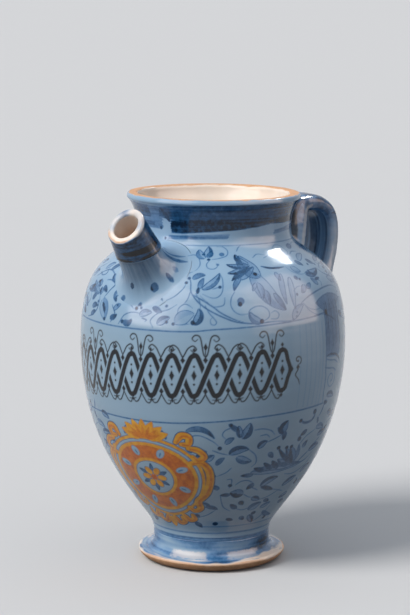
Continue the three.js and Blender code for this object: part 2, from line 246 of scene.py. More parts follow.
def inside_wall():
    """Down the inside: the neck, the belly, then the floor."""
    tangent = np.gradient(OUTER, axis=0)
    tangent /= np.linalg.norm(tangent, axis=1)[:, None]
    wall = np.interp(OUTER[:, 1], [SHOULDER_Z, NECK_Z], [WALL, NECK_WALL])
    points = OUTER - np.stack([tangent[:, 1], -tangent[:, 0]], 1) * wall[:, None]
    points = points[(points[:, 1] > FLOOR_Z + WALL) & (points[:, 1] < LIP_Z - LIP_ROUND)][::-1]
    last = points[-1]
    floor = bezier([last, (max(last[0] - WALL, FLOOR_RADIUS), FLOOR_Z), (FLOOR_RADIUS, FLOOR_Z)], 20)
    return np.vstack([points, floor[1:], [(0, FLOOR_Z)]])


def lengths_along(points):
    steps = np.linalg.norm(np.diff(points, axis=0), axis=1)
    return np.concatenate([[0], np.cumsum(steps)])


def spaced(points, step):
    """The same line with points at an even step."""
    along = lengths_along(points)
    marks = np.linspace(0, along[-1], max(2, round(along[-1] / step)) + 1)
    return np.stack([np.interp(marks, along, points[:, i]) for i in range(points.shape[1])], 1)


# Painting: layers of pigment and wear on a grid of surface points; some layers also carry painted shade and
# painted sheen

LAYERS = ("blue", "black_and_shade", "worn", "yellow", "orange", "pale_glaze_and_sheen")
FAR = 1e9
TINY = 1e-9


def as_points(places):
    """Places as an array of (degrees, height). Text holds them as "degrees,height degrees,height"."""
    if isinstance(places, str):
        places = [place.split(",") for place in places.split()]
    return np.array(places, float)


class Canvas:
    """Rows run up a surface, columns run round it. A place is (degrees, height).

    unit is 1 where places are given in degrees, and the degrees of a millimetre where they are in mm.
    """

    def __init__(self, heights, lengths, scale, columns=COLUMNS):
        self.heights = heights
        self.lengths = lengths
        self.scale = scale
        self.columns = -180 + 360 * np.arange(columns) / columns
        self.layers = {name: np.zeros((len(lengths), columns), np.float32) for name in LAYERS}
        self.home = (0, 0, 1, 1)

    def at(self, right=0, up=0, flip=1, unit=1):
        """Moves the origin of what is drawn next, and mirrors it where flip is -1."""
        self.home = (right, up, flip, unit)

    def along(self, height):
        return np.interp(height, self.heights, self.lengths)

    def placed(self, places):
        points = as_points(places)
        right, up, flip, unit = self.home
        return np.stack([right + flip * unit * points[:, 0], self.along(points[:, 1] + up)], 1)

    def mm_to_degrees(self, millimetres, height):
        return millimetres / np.interp(height + self.home[1], self.heights, self.scale)

    def cells(self, line, reach):
        """The box of cells round a line: (where, x, y, mm in a degree, the line's middle in degrees).

        x is in mm to the right of the middle, and y is the length up the surface.
        """
        (left, low), (right, high) = line.min(0), line.max(0)
        rows = np.arange(*np.searchsorted(self.lengths, [low - reach, high + reach]))
        scale = self.scale[rows][:, None]
        middle = (left + right) / 2
        half = (right - left) / 2 + reach / max(1e-3, scale.min(initial=1e3))
        step = self.columns[1] - self.columns[0]
        first = int(np.floor((middle - half - self.columns[0]) / step))
        last = int(np.ceil((middle + half - self.columns[0]) / step))
        columns = np.arange(first, last + 1)
        x = (self.columns[0] + columns * step - middle)[None, :] * scale
        y = np.broadcast_to(self.lengths[rows][:, None], x.shape)
        return np.ix_(rows, columns % len(self.columns)), x, y, scale, middle

    def near(self, line, reach):
        """Cells within reach of a line: (where, distance, share along, side)."""
        where, x, y, scale, middle = self.cells(line, reach)
        best = np.full(x.shape, FAR)
        share = np.zeros(x.shape)
        side = np.zeros(x.shape)
        along = lengths_along(np.stack([line[:, 0] * (scale.mean() if scale.size else 1), line[:, 1]], 1))
        for i in range(len(line) - 1):
            ax, ay = (line[i, 0] - middle) * scale, line[i, 1]
            dx, dy = (line[i + 1, 0] - line[i, 0]) * scale, line[i + 1, 1] - line[i, 1]
            t = np.clip(((x - ax) * dx + (y - ay) * dy) / np.maximum(dx * dx + dy * dy, TINY), 0, 1)
            away = np.hypot(x - ax - t * dx, y - ay - t * dy)
            closer = away < best
            best = np.where(closer, away, best)
            share = np.where(closer, along[i] + t * (along[i + 1] - along[i]), share)
            side = np.where(closer, np.sign(dx * (y - ay) - dy * (x - ax)), side)
        return where, best, share / max(along[-1], TINY), side

    def lay(self, layer, where, cover):
        target = self.layers[layer]
        target[where] = np.maximum(target[where], cover)

    def lay_all(self, layer, cover):
        self.layers[layer] = np.maximum(self.layers[layer], cover.astype(np.float32))

    def extend(self, rows):
        """Adds rows without paint at the end."""
        for name, layer in self.layers.items():
            self.layers[name] = np.vstack([layer, np.zeros((rows, layer.shape[1]), np.float32)])

    def lift(self, layer, where, cover):
        target = self.layers[layer]
        target[where] = target[where] * (1 - cover)


def soft(inside):
    """Coverage from a distance inside an edge, in mm."""
    return np.clip(inside / EDGE_SOFTNESS + 0.5, 0, 1)


def hump(values, middle, reach, power=2):
    """1 in the middle and falling to 0 on both sides. A higher power makes the top flatter."""
    return np.exp(-((values - middle) / reach) ** power)


def off(degree, place):
    """Degrees round from a place, from -180 to 180."""
    return (degree - place + 180) % 360 - 180


def smooth_line(places, per_span=8):
    """A Catmull-Rom curve through the places."""
    points = as_points(places)
    if len(points) < 3:
        return points
    padded = np.vstack([2 * points[0] - points[1], points, 2 * points[-1] - points[-2]])
    t = np.linspace(0, 1, per_span, endpoint=False)[:, None]
    spans = [0.5 * (2 * b + (c - a) * t + (2 * a - 5 * b + 4 * c - d) * t**2 + (3 * b - a - 3 * c + d) * t**3)
             for a, b, c, d in zip(padded, padded[1:], padded[2:], padded[3:])]
    return np.vstack(spans + [points[-1:]])


def stroke(canvas, places, width=0.6, tone=0.8, start=0.4, end=0.15, layer="blue"):
    """A brush line through places. start and end are the widths at its ends as shares of the width."""
    line = canvas.placed(smooth_line(places))
    where, away, share, _ = canvas.near(line, width + 1)
    belly = np.clip(share * 5, 0, 1) * (1 - start) + start
    tail = np.clip((1 - share) * 3.5, 0, 1) * (1 - end) + end
    canvas.lay(layer, where, soft(width / 2 * belly * tail - away) * tone)


def dot(canvas, place, radius, tone=0.85, layer="blue"):
    line = canvas.placed([place, (place[0] + 0.01, place[1])])
    where, away, _, _ = canvas.near(line, radius + 1)
    canvas.lay(layer, where, soft(radius - away) * tone)


def leaf(canvas, ends, width, bend=0.0, tone=(0.3, 0.75), edge=0.8, half=0, layer="blue"):
    """A leaf or petal from base to tip: outlined, and washed darker towards one end.

    bend is its sideways bow as a share of its length. half washes its left (1) or right (-1) side more.
    """
    line = canvas.placed(ends)
    flip = canvas.home[2]
    scale = np.interp(line[:, 1].mean(), canvas.lengths, canvas.scale)
    chord = (line[1] - line[0]) * (scale, 1)
    bow = np.array([-chord[1], chord[0]]) * bend * flip
    middle = line.mean(0) + bow / (scale, 1)
    curve = bezier([line[0], 2 * middle - line.mean(0), line[1]], 14)
    where, away, share, side = canvas.near(curve, width / 2 + 1.5)
    inside = width / 2 * np.sin(pi * np.clip(share, 0, 1) ** 0.8) ** 0.75 - away
    wash = tone[0] + (tone[1] - tone[0]) * share**1.5
    if half:
        wash = np.where(side * flip == half, wash, wash * 0.42)
    canvas.lay(layer, where, soft(inside) * wash)
    if edge:
        canvas.lay(layer, where, soft(0.28 - np.abs(inside - 0.1)) * edge * (share > 0.01) * (share < 0.99))


def curl(canvas, centre, radius, turns, start, hand, width, tone, layer="blue"):
    """A spiral line that ends near its centre in a small dot."""
    t = np.linspace(0, 1, int(14 * turns) + 4)
    angle = radians(start) + hand * 2 * pi * turns * t
    reach = radius * (1 - 0.75 * t)
    across = canvas.mm_to_degrees(1, centre[1])
    points = np.stack([centre[0] + across * reach * np.cos(angle), centre[1] + reach * np.sin(angle)], 1)
    stroke(canvas, points, width, tone, 0.5, 1, layer)
    dot(canvas, points[-1], width * 0.9, tone, layer)


def lozenge(canvas, centre, wide, high):
    place = canvas.placed([centre])
    where, x, y, _, _ = canvas.cells(place, max(wide, high) / 2 + 1)
    inside = (1 - np.abs(x) / (wide / 2) - np.abs(y - place[0, 1]) / (high / 2)) * min(wide, high) / 2.83
    canvas.lay("black_and_shade", where, soft(inside))


# Mesh building

def grid_mesh(name, points, keep=None, extra=None, sleeve=False):
    """A mesh of rows of points, closed round its columns. points is (rows, columns, 3) in mm.

    keep marks the cells that stay. extra is (points, faces) added as they are. A sleeve joins its last row
    to its first, and anything else is closed by a fan at both ends.
    """
    rows, cols, _ = points.shape
    index = np.arange(rows * cols).reshape(rows, cols)
    low, high = (index, np.roll(index, -1, 0)) if sleeve else (index[:-1], index[1:])
    quads = np.stack([low, np.roll(low, -1, 1), np.roll(high, -1, 1), high], -1)
    corner = np.stack(np.meshgrid(np.arange(cols) / cols, np.linspace(0, 1, len(low) + 1)), -1)
    right = (1 / cols, 0)
    uvs = np.stack([corner[:-1], corner[:-1] + right, corner[1:] + right, corner[1:]], 2)
    if keep is not None:
        quads, uvs = quads[keep], uvs[keep]
    quads = quads.reshape(-1, 4)
    uvs = [uvs.reshape(-1, 2)]
    vertices = points.reshape(-1, 3)
    triangles = np.zeros((0, 3), int)
    fan_uvs = []
    for row, order in () if sleeve else ((0, -1), (-1, 1)):
        ring = index[row]
        fan = np.stack([ring, np.roll(ring, -1), np.full(cols, len(vertices))], 1)
        vertices = np.vstack([vertices, vertices[ring].mean(0)])
        triangles = np.vstack([triangles, fan[:, ::order]])
        fan_uv = np.stack([corner[row], corner[row] + right, corner[row]], 1)
        fan_uvs.append(fan_uv[:, ::order].reshape(-1, 2))
    if extra is not None:
        extra_points, extra_quads = extra
        quads = np.vstack([quads, extra_quads + len(vertices)])
        vertices = np.vstack([vertices, extra_points])
        uvs.append(np.zeros((extra_quads.size, 2)))
    loops = np.concatenate([quads.ravel(), triangles.ravel()])
    starts = np.concatenate([4 * np.arange(len(quads)), quads.size + 3 * np.arange(len(triangles))])
    mesh = bpy.data.meshes.new(name)
    mesh.vertices.add(len(vertices))
    mesh.vertices.foreach_set("co", (vertices * MM).astype(np.float32).ravel())
    mesh.loops.add(len(loops))
    mesh.loops.foreach_set("vertex_index", loops.astype(np.int32))
    mesh.polygons.add(len(starts))
    mesh.polygons.foreach_set("loop_start", starts.astype(np.int32))
    mesh.update(calc_edges=True)
    mesh.validate()
    mesh.polygons.foreach_set("use_smooth", np.ones(len(mesh.polygons), bool))
    layer = mesh.uv_layers.new(name="OFBake")
    layer.data.foreach_set("uv", np.vstack(uvs + fan_uvs).astype(np.float32).ravel())
    mesh.update()
    piece = bpy.data.objects.new(name, mesh)
    bpy.context.scene.collection.objects.link(piece)
    return piece


def store(piece, layers):
    """Writes the painted layers to the mesh's first vertices as two colour attributes."""
    mesh = piece.data
    for name, channels in (("Brush", LAYERS[:3]), ("EnamelAndSheen", LAYERS[3:])):
        values = np.zeros((len(mesh.vertices), 4), np.float32)
        values[:, 3] = 1
        for channel, layer in enumerate(channels):
            values[:layers[layer].size, channel] = layers[layer].ravel()
        attribute = mesh.attributes.new(name, "FLOAT_COLOR", "POINT")
        attribute.data.foreach_set("color", values.ravel())


def wobble(rows, columns, size, seed):
    """Smooth noise that closes round the columns, from about -1 to 1. size is in cells (rows, columns)."""
    noise = np.random.default_rng(seed).standard_normal((rows, columns))
    spectrum = np.fft.rfft2(noise)
    down = np.fft.fftfreq(rows)[:, None] * size[0]
    across = np.fft.rfftfreq(columns)[None, :] * size[1]
    spectrum *= np.exp(-2 * (down**2 + across**2))
    field = np.fft.irfft2(spectrum, (rows, columns))
    return (field / (2.5 * field.std())).astype(np.float32)


def turned(points, world_degrees):
    """Points turned about the jar's axis."""
    turn = radians(world_degrees)
    rotate = np.array([[cos(turn), -sin(turn), 0], [sin(turn), cos(turn), 0], [0, 0, 1]])
    return points @ rotate.T


# Spout geometry, in the plane x = 0 and pointing along -Y

SPOUT_AXIS = np.array([0, -cos(radians(SPOUT_ELEVATION_DEG)), sin(radians(SPOUT_ELEVATION_DEG))])
SPOUT_OUTWARD = np.array([0, -SPOUT_AXIS[2], SPOUT_AXIS[1]])
SPOUT_MOUTH = np.array([0, -SHOULDER_RADIUS, SHOULDER_Z]) + SPOUT_AXIS * SPOUT_LENGTH


def spout_points(depth, radius, angle):
    """Points at a depth below the mouth. The mouth and the collar's end slant opposite ways."""
    depth, radius, angle = np.broadcast_arrays(depth, radius, angle)
    lean = np.interp(depth, [0, SPOUT_COLLAR_LENGTH], [SPOUT_MOUTH_SLANT_DEG, -SPOUT_COLLAR_SLANT_DEG])
    slant = np.tan(np.radians(lean)) * radius * np.sin(angle)
    return (SPOUT_MOUTH - (depth + slant)[..., None] * SPOUT_AXIS
            + (radius * np.sin(angle))[..., None] * SPOUT_OUTWARD
            + (radius * np.cos(angle))[..., None] * np.array([1, 0, 0]))


def off_body(points):
    return np.hypot(points[..., 0], points[..., 1]) - body_radius(points[..., 2])


def body_normal(points):
    step = 0.5
    slope = (body_radius(points[..., 2] + step) - body_radius(points[..., 2] - step)) / (2 * step)
    flat = np.hypot(points[..., 0], points[..., 1])
    normal = np.stack([points[..., 0] / flat, points[..., 1] / flat, -slope], -1)
    return normal / np.linalg.norm(normal, axis=-1, keepdims=True)


def cone_radius(depth):
    flare = tan(radians(SPOUT_FLARE_DEG))
    return SPOUT_COLLAR_RADIUS - SPOUT_COLLAR_STEP + (depth - SPOUT_COLLAR_LENGTH) * flare


def depth_at_body(radius_at, angle, below_surface):
    """Depth at which a tube round the spout's axis reaches a level below the body's surface."""
    above = np.full(angle.shape, float(SPOUT_COLLAR_LENGTH) / 2)
    below = np.full(angle.shape, SPOUT_LENGTH + 2.0 * SPOUT_COLLAR_RADIUS)
    for _ in range(30):
        middle = (above + below) / 2
        outside = off_body(spout_points(middle, radius_at(middle), angle)) > -below_surface
        above = np.where(outside, middle, above)
        below = np.where(outside, below, middle)
    return above


# The body

def body_rows():
    """The outline from the seam up to the lip's inner edge, which is painted, and the inside's."""
    line = [(COLUMN_RADIUS, SEAM_Z), (COLUMN_RADIUS, SEAM_Z + TURNED_LINE_START)]
    painted = spaced(np.vstack([line, OUTER, lip_top()]), CELL)
    inside = inside_wall()
    high = inside[:, 1] > BELLY_Z + SHOULDER_RISE / 2
    inner = np.vstack([spaced(inside[high], INSIDE_CELL), spaced(inside[~high][:-1], FLOOR_CELL)])
    return painted, inner


def paint_lines(canvas):
    """The two lines that bound the band, the line under the neck and the turned lines above the foot."""
    stroke(canvas, "-125,157 -100,156.4 -75,156 -50,156 -30,156.2 -10,156.8 0,158.2 10,159 30,160.6 52,162.4",
           0.8, 0.55, 1, 1)
    stroke(canvas, "-125,103.5 -100,101.8 -75,100.6 -45,100.3 -20,100.7 0,102.4 20,104.6 40,106 57,107.1",
           0.9, 0.6, 1, 1)
    for height, width, tone, first, last in ((203.6, 0.6, 0.45, -180, 180), (28.6, 0.9, 0.4, -8, 70),
                                             (28.6, 0.9, 0.3, 120, 170), (23.7, 1.3, 0.4, -180, 180)):
        ring = [(degree, height + 0.25 * sin(radians(2 * degree))) for degree in range(first, last + 6, 6)]
        stroke(canvas, ring, width, tone, 1, 1)
    band(canvas, "-180,16 180,16", "-180,20.8 180,20.8", 0.44, 0.26, 49)


def thrown(radius, heights, canvas):
    """Points of a round wall from a radius for each row and column and a height for each row."""
    angle = np.radians(VIEW_WORLD_DEG + canvas.columns)
    height = np.repeat(heights[:, None], len(angle), 1)
    return np.stack([radius * np.cos(angle), radius * np.sin(angle), height], -1)


def make_body():
    painted, inner = body_rows()
    rows = len(painted)
    outline = np.vstack([painted, inner])
    canvas = Canvas(painted[:, 1], lengths_along(painted), painted[:, 0] * pi / 180)
    paint_body(canvas)
    rings = wobble(rows, COLUMNS, (9, 400), 3) * BODY_RINGS
    ripple = rings + wobble(rows, COLUMNS, (60, 120), 4) * BODY_WAVES
    fade = np.clip((painted[:, 1] - SEAM_Z - TURNED_LINE_RISE) / RIPPLE_FADE, 0, 1)
    radius = np.repeat(outline[:, :1], COLUMNS, 1)
    radius[:rows] += (ripple - RIPPLE_INSET) * fade[:, None]
    keep, points, tube = spout_hole(thrown(radius, outline[:, 1], canvas))
    piece = grid_mesh("jar_body", points, keep, tube)
    canvas.extend(len(inner))
    canvas.layers["pale_glaze_and_sheen"][rows - INNER_LIP_ROWS:] = 1
    store(piece, canvas.layers)
    return piece


def spout_hole(points):
    """Opens the wall under the spout.

    Gives the cells that stay, the points with a round edge, and the points and faces of a tube in the wall.
    """
    axis = turned(SPOUT_AXIS, SPOUT_TURN_DEG)
    mouth = turned(SPOUT_MOUTH, SPOUT_TURN_DEG)
    offset = points - mouth
    depth = -offset @ axis
    sideways = offset + depth[..., None] * axis
    away = np.linalg.norm(sideways, axis=-1)
    near = (depth > SPOUT_COLLAR_LENGTH) & (depth < SPOUT_LENGTH + 5 * WALL)
    cut = near & (away < SPOUT_SEAT_BORE)
    cell = cut[:-1] | cut[1:]
    cell = cell | np.roll(cell, -1, 1)
    edge = np.zeros(cut.shape, bool)
    for row_shift in (0, 1):
        for col_shift in (0, 1):
            edge[row_shift:len(cell) + row_shift] |= np.roll(cell, col_shift, 1)
    edge &= ~cut & (away < SPOUT_SEAT_BORE + 3)
    reach = np.where(edge, SPOUT_SEAT_BORE / np.maximum(away, TINY), 1)
    points = mouth - depth[..., None] * axis + sideways * reach[..., None]
    angle = np.linspace(0, 2 * pi, HOLE_COLUMNS, endpoint=False)
    rings = []
    for below in HOLE_RINGS:
        ring_depth = depth_at_body(lambda d: np.full_like(d, SPOUT_SEAT_BORE), angle, below)
        rings.append(turned(spout_points(ring_depth, SPOUT_SEAT_BORE, angle), SPOUT_TURN_DEG))
    index = np.arange(len(rings) * len(angle)).reshape(len(rings), -1)
    faces = np.stack([index[:-1], index[1:], np.roll(index[1:], -1, 1), np.roll(index[:-1], -1, 1)], -1)
    return ~cell, points, (np.vstack(rings), faces.reshape(-1, 4))


# The foot

def foot_outline():
    rest = FOOT_RADIUS - FOOT_UNDERCUT
    brow_z = FOOT_EDGE_RISE + FOOT_BROW_RISE
    bevel = (FOOT_RADIUS - FOOT_BEVEL_INSET, FOOT_BEVEL_RISE)
    edge = (FOOT_RADIUS, FOOT_EDGE_RISE)
    brow = (FOOT_RADIUS - FOOT_EDGE_ROUND, brow_z)
    column = (COLUMN_RADIUS, COLUMN_Z)
    return np.vstack([
        [(rest - FOOT_REST_WIDTH - 2, FOOT_HOLLOW_RISE), (rest - FOOT_REST_WIDTH, 0)],
        bezier([(rest, 0), bevel, edge], 20),
        bezier([edge, (FOOT_RADIUS, brow_z), brow], 12)[1:],
        bezier([brow, (COLUMN_RADIUS, brow_z), column], 20)[1:],
        [(COLUMN_RADIUS, SEAM_Z)],
    ])


def make_foot():
    outline = spaced(foot_outline(), CELL)
    rows = len(outline)
    along = lengths_along(outline)
    canvas = Canvas(along, along, outline[:, 0] * pi / 180, FOOT_COLUMNS)
    paint_foot(canvas, outline[:, 1:])
    dents = wobble(rows, FOOT_COLUMNS, (10, 40), 11)
    edge = hump(outline[:, 1:], FOOT_EDGE_RISE, 2.5) * (outline[:, :1] > FOOT_DENT_RADIUS)
    radius = np.repeat(outline[:, :1], FOOT_COLUMNS, 1) - np.abs(dents) * edge * FOOT_DENTS
    piece = grid_mesh("foot_ring", thrown(radius, outline[:, 1], canvas))
    store(piece, canvas.layers)
    return piece


# The spout

def spout_profile():
    """(depth, radius) down the outside from the middle of the lip's flat, as far as the cone."""
    edge = (SPOUT_LIP_ROUND, SPOUT_MOUTH_RADIUS)
    collar_end = (SPOUT_COLLAR_LENGTH - 1, SPOUT_COLLAR_RADIUS)
    cone = SPOUT_COLLAR_LENGTH + SPOUT_STEP_LENGTH
    return spaced(np.vstack([
        bezier([(0, SPOUT_FLAT_MIDDLE), (-0.1, SPOUT_MOUTH_RADIUS), edge], 16),
        bezier([edge, (SPOUT_COLLAR_LENGTH / 2, SPOUT_MOUTH_RADIUS + 0.5), collar_end], 20)[1:],
        bezier([collar_end, (SPOUT_COLLAR_LENGTH, SPOUT_COLLAR_RADIUS), (cone, cone_radius(cone))], 6)[1:],
    ]), CELL)


def skirt_points(angle, rows):
    """The slip skirt: curves that leave the cone and lie down on the shoulder, as (rows, columns, 3)."""
    depth = depth_at_body(cone_radius, angle, 0)
    corner = spout_points(depth, cone_radius(depth), angle)
    start_depth = np.maximum(SPOUT_COLLAR_LENGTH + SKIRT_EDGE, depth - SPOUT_SKIRT)
    start = spout_points(start_depth, cone_radius(start_depth), angle)
    away = corner - (start + spout_points(depth, 0 * angle, angle)) / 2
    away = unit_length(flattened(away, body_normal(corner)))
    end = corner + away * SPOUT_SKIRT
    spread = (body_radius(end[..., 2]) - SKIRT_SINK) / np.hypot(end[..., 0], end[..., 1])
    end[..., :2] *= spread[..., None]
    first_depth = SPOUT_COLLAR_LENGTH + SPOUT_STEP_LENGTH
    first = spout_points(first_depth, cone_radius(first_depth), angle)
    cone = [first + (start - first) * share for share in np.linspace(0, 1, 12)[1:-1]]
    skirt = [start * (1 - t) ** 2 + corner * 2 * t * (1 - t) + end * t**2 for t in np.linspace(0, 1, rows)]
    return np.array(cone + skirt)


def unit_length(vectors):
    return vectors / np.maximum(np.linalg.norm(vectors, axis=-1, keepdims=True), TINY)


def flattened(vectors, normal):
    """The vectors without their share along the normal."""
    return vectors - np.sum(vectors * normal, -1, keepdims=True) * normal


def make_spout():
    angle = np.linspace(0, 2 * pi, SPOUT_COLUMNS, endpoint=False)
    profile = spout_profile()
    collar_rows = len(profile)
    tube = np.array([spout_points(depth, radius, angle) for depth, radius in profile])
    outside = np.concatenate([tube, skirt_points(angle, SKIRT_ROWS)])
    seat_bore = SPOUT_SEAT_BORE - SPOUT_BORE_GAP
    buried_depth = depth_at_body(lambda d: np.full_like(d, seat_bore), angle, SPOUT_BURIED)
    share = np.linspace(0, 1, BORE_ROWS)[:, None]
    bore_depth = share * (buried_depth - SPOUT_BORE_ROUND)[None, :] + SPOUT_BORE_ROUND
    bore_radius = np.interp(bore_depth, [0, SPOUT_BORE_ROUND, SPOUT_COLLAR_LENGTH],
                            [SPOUT_MOUTH_BORE + SPOUT_BORE_FLARE, SPOUT_MOUTH_BORE, seat_bore])
    bore = spout_points(bore_depth, bore_radius, np.broadcast_to(angle, bore_depth.shape))[::-1]
    lip = bezier([(SPOUT_BORE_ROUND, SPOUT_MOUTH_BORE), (0, SPOUT_MOUTH_BORE), (0, SPOUT_FLAT_MIDDLE)], 8)
    lip_inner = np.array([spout_points(depth, radius, angle) for depth, radius in lip[1:-1]])
    points = np.concatenate([outside, bore, lip_inner])
    steps = np.linalg.norm(np.diff(outside, axis=0), axis=-1).mean(1)
    along = SPOUT_PAINT_STRETCH * np.concatenate([[0], np.cumsum(steps)])
    canvas = Canvas(along, along, np.full(len(outside), SPOUT_PAINT_RADIUS) * pi / 180, SPOUT_COLUMNS)
    paint_spout(canvas, collar_rows)
    uneven = wobble(collar_rows, SPOUT_COLUMNS, (14, 60), 21)
    axis_points = SPOUT_MOUTH - np.clip(profile[:, 0], 0, None)[:, None] * SPOUT_AXIS
    outward = unit_length(tube - axis_points[:, None, :])
    points[:collar_rows] += outward * (uneven * SPOUT_UNEVEN)[..., None]
    piece = grid_mesh("spout_tube", turned(points, SPOUT_TURN_DEG), sleeve=True)
    canvas.extend(len(points) - len(outside))
    inside = slice(len(outside), len(outside) + len(bore))
    canvas.layers["pale_glaze_and_sheen"][inside] = 1
    for name in ("pale_glaze_and_sheen", "blue"):
        canvas.layers[name][inside.stop:] = canvas.layers[name][0]
    # Inside the bore the cream glaze takes on clay colour deeper in
    deeper = np.linspace(1, 0, len(bore))[:, None]
    canvas.layers["worn"][inside] = np.clip((deeper - 0.18) * 2.4, 0, 0.52)
    store(piece, canvas.layers)
    return piece


# The handle

def handle_stations():
    """Centre line as (distance from the axis, height, share of the root's fullness, share of the end's)."""
    top = TOP_Z - HANDLE_TOP_DROP
    root_y = NECK_RADIUS + HANDLE_ROOT_THICKNESS / 2
    arch_y = HANDLE_REACH - HANDLE_ARCH_SPAN
    arch_z = top - HANDLE_ARCH_RISE
    end_z = SHOULDER_Z - HANDLE_END_DROP
    root = [
        (root_y - HANDLE_ROOT_LEAN / 2, NECK_Z - HANDLE_ROOT_DROP, 1, 0),
        (root_y - HANDLE_ROOT_LEAN / 4, NECK_Z - 0.6 * HANDLE_ROOT_DROP, 1, 0),
        (root_y, NECK_Z - 0.3 * HANDLE_ROOT_DROP, 1, 0),
        (root_y + HANDLE_ROOT_LEAN / 4, NECK_Z, 1, 0),
        (root_y + HANDLE_ROOT_LEAN, NECK_Z + 0.7 * (top - NECK_Z), 0.75, 0),
        (root_y + 0.7 * (arch_y - root_y), top, 0.15, 0),
    ]
    power = 2 / HANDLE_SQUARENESS
    arch = [(arch_y + HANDLE_ARCH_SPAN * cos(radians(a)) ** power,
             arch_z + HANDLE_ARCH_RISE * sin(radians(a)) ** power, 0, 0) for a in (70, 45, 22, 0)]
    end_y = body_radius(end_z) - HANDLE_END_SINK
    fall = bezier([(HANDLE_REACH, arch_z), (HANDLE_REACH, (arch_z + end_z) / 2), (end_y, end_z)], 6)[1:]
    fullness = (0, 0.1, 0.6, 1, 1)
    return root + arch + [(y, z, 0, full) for (y, z), full in zip(fall, fullness)]


def centripetal(points, t):
    """A point of the centripetal Catmull-Rom curve through the points, t from 0 to 1."""
    spans = len(points) - 1
    at = min(t * spans, spans - 1e-9)
    i = int(at)
    weight = at - i
    p1, p2 = points[i], points[i + 1]
    p0 = points[i - 1] if i > 0 else 2 * points[0] - points[1]
    p3 = points[i + 2] if i + 2 < len(points) else 2 * points[-1] - points[-2]
    gap = [max(np.linalg.norm(b - a) ** 0.5, 1e-6) for a, b in ((p0, p1), (p1, p2), (p2, p3))]
    if gap[1] < 1e-4:
        gap[1] = 1.0
    gap = [g if g > 1e-4 else gap[1] for g in gap]
    t1 = ((p1 - p0) / gap[0] - (p2 - p0) / (gap[0] + gap[1]) + (p2 - p1) / gap[1]) * gap[1]
    t2 = ((p2 - p1) / gap[1] - (p3 - p1) / (gap[1] + gap[2]) + (p3 - p2) / gap[2]) * gap[1]
    return (p1 + t1 * weight + (-3 * p1 + 3 * p2 - 2 * t1 - t2) * weight**2
            + (2 * p1 - 2 * p2 + t1 + t2) * weight**3)


def make_handle():
    stations = np.array(handle_stations())
    shares = np.linspace(0, 1, HANDLE_ROWS)
    centres = np.array([centripetal(stations[:, :2], t) for t in shares])
    root, end = np.array([centripetal(stations[:, 2:], t) for t in shares]).T
    tangent = unit_length(np.gradient(centres, axis=0))
    level = np.zeros(HANDLE_ROWS)
    outward = np.stack([level, -tangent[:, 1], tangent[:, 0]], 1)
    width = HANDLE_WIDTH + root * (HANDLE_ROOT_WIDTH - HANDLE_WIDTH) + end * (HANDLE_END_WIDTH - HANDLE_WIDTH)
    thickness = (HANDLE_THICKNESS + root * (HANDLE_ROOT_THICKNESS - HANDLE_THICKNESS)
                 + end * (HANDLE_END_THICKNESS - HANDLE_THICKNESS))
    angle = np.linspace(0, 2 * pi, HANDLE_COLUMNS, endpoint=False)
    power = 2 / HANDLE_SQUARENESS
    c, s = np.cos(angle), np.sin(angle)
    sideways = np.sign(c) * np.abs(c) ** power
    dish = np.where(s > 0, HANDLE_DISH * (1 - sideways**2) * s, 0)
    lift = thickness[:, None] / 2 * (np.sign(s) * np.abs(s) ** power)[None, :] - dish[None, :]
    lift += wobble(HANDLE_ROWS, HANDLE_COLUMNS, (70, 12), 31) * HANDLE_UNEVEN
    centre = np.stack([level, *centres.T], 1)
    side_wobble = 1 + wobble(HANDLE_ROWS, 1, (50, 1), 32)[:, 0] * 0.02
    across = (width / 2 * side_wobble)[:, None, None] * sideways[None, :, None] * np.array([1.0, 0, 0])
    points = slip_fillet(centre[:, None, :] + across + lift[..., None] * outward[:, None, :], centre)
    along = lengths_along(centres)
    canvas = Canvas(along, along, width * HANDLE_GIRTH / 360, HANDLE_COLUMNS)
    paint_handle(canvas)
    points = points[:, np.argsort(off(np.degrees(angle), 0), kind="stable")]
    near_body = np.clip(off_body(points) / FILLET_SINK, 0.3, 1)
    for name in ("blue", "black_and_shade"):
        canvas.layers[name] *= near_body.astype(np.float32)
    piece = grid_mesh("strap_handle", points)
    store(piece, canvas.layers)
    return piece


def slip_fillet(points, centre):
    """Flares the strap where it meets the body, and keeps what is inside the wall just under the surface."""
    height = off_body(points)
    away = unit_length(flattened(points - centre[:, None, :], body_normal(points)))
    push = FILLET / 2 * np.clip(1 - height / FILLET, 0, 1) ** 2
    push = np.where(height < 0, FILLET / 2, push)
    points = points + away * push[..., None] * 0.7
    height = off_body(points)
    flat = np.hypot(points[..., 0], points[..., 1])
    sink = np.where(height < -FILLET_SINK, (flat - height - FILLET_SINK) / flat, 1)
    points[..., :2] *= sink[..., None]
    return points


# More brushwork

def band(canvas, lower, upper, tone, streaks, seed):
    """A brushed blue band between two edges of places, with bristle streaks and ragged ends."""
    lower, upper = as_points(lower), as_points(upper)
    right, _, flip, _ = canvas.home
    first, last = lower[0, 0], lower[-1, 0]
    place = ((canvas.columns - right) * flip - first) % 360 + first
    low = canvas.along(np.interp(place, *lower.T))
    high = canvas.along(np.interp(place, *upper.T))
    level = canvas.lengths[:, None]
    rows, columns = len(level), len(place)
    bristles = wobble(rows, columns, (2.2, 120), seed)
    ragged = wobble(rows, 1, (1.5, 1), seed + 1)[:, 0] * 0.9
    ends = np.minimum(place - first, last - place)[None, :] * canvas.scale[:, None] + ragged[:, None] - 1.5
    if last - first >= 360:
        ends = np.full((rows, columns), FAR)
    inside = np.minimum(level - low[None, :], high[None, :] - level) + bristles * 0.35
    cover = soft(inside) * soft(ends) * (place <= last)[None, :]
    canvas.lay_all("blue", cover * (tone * (1 + streaks * bristles)))


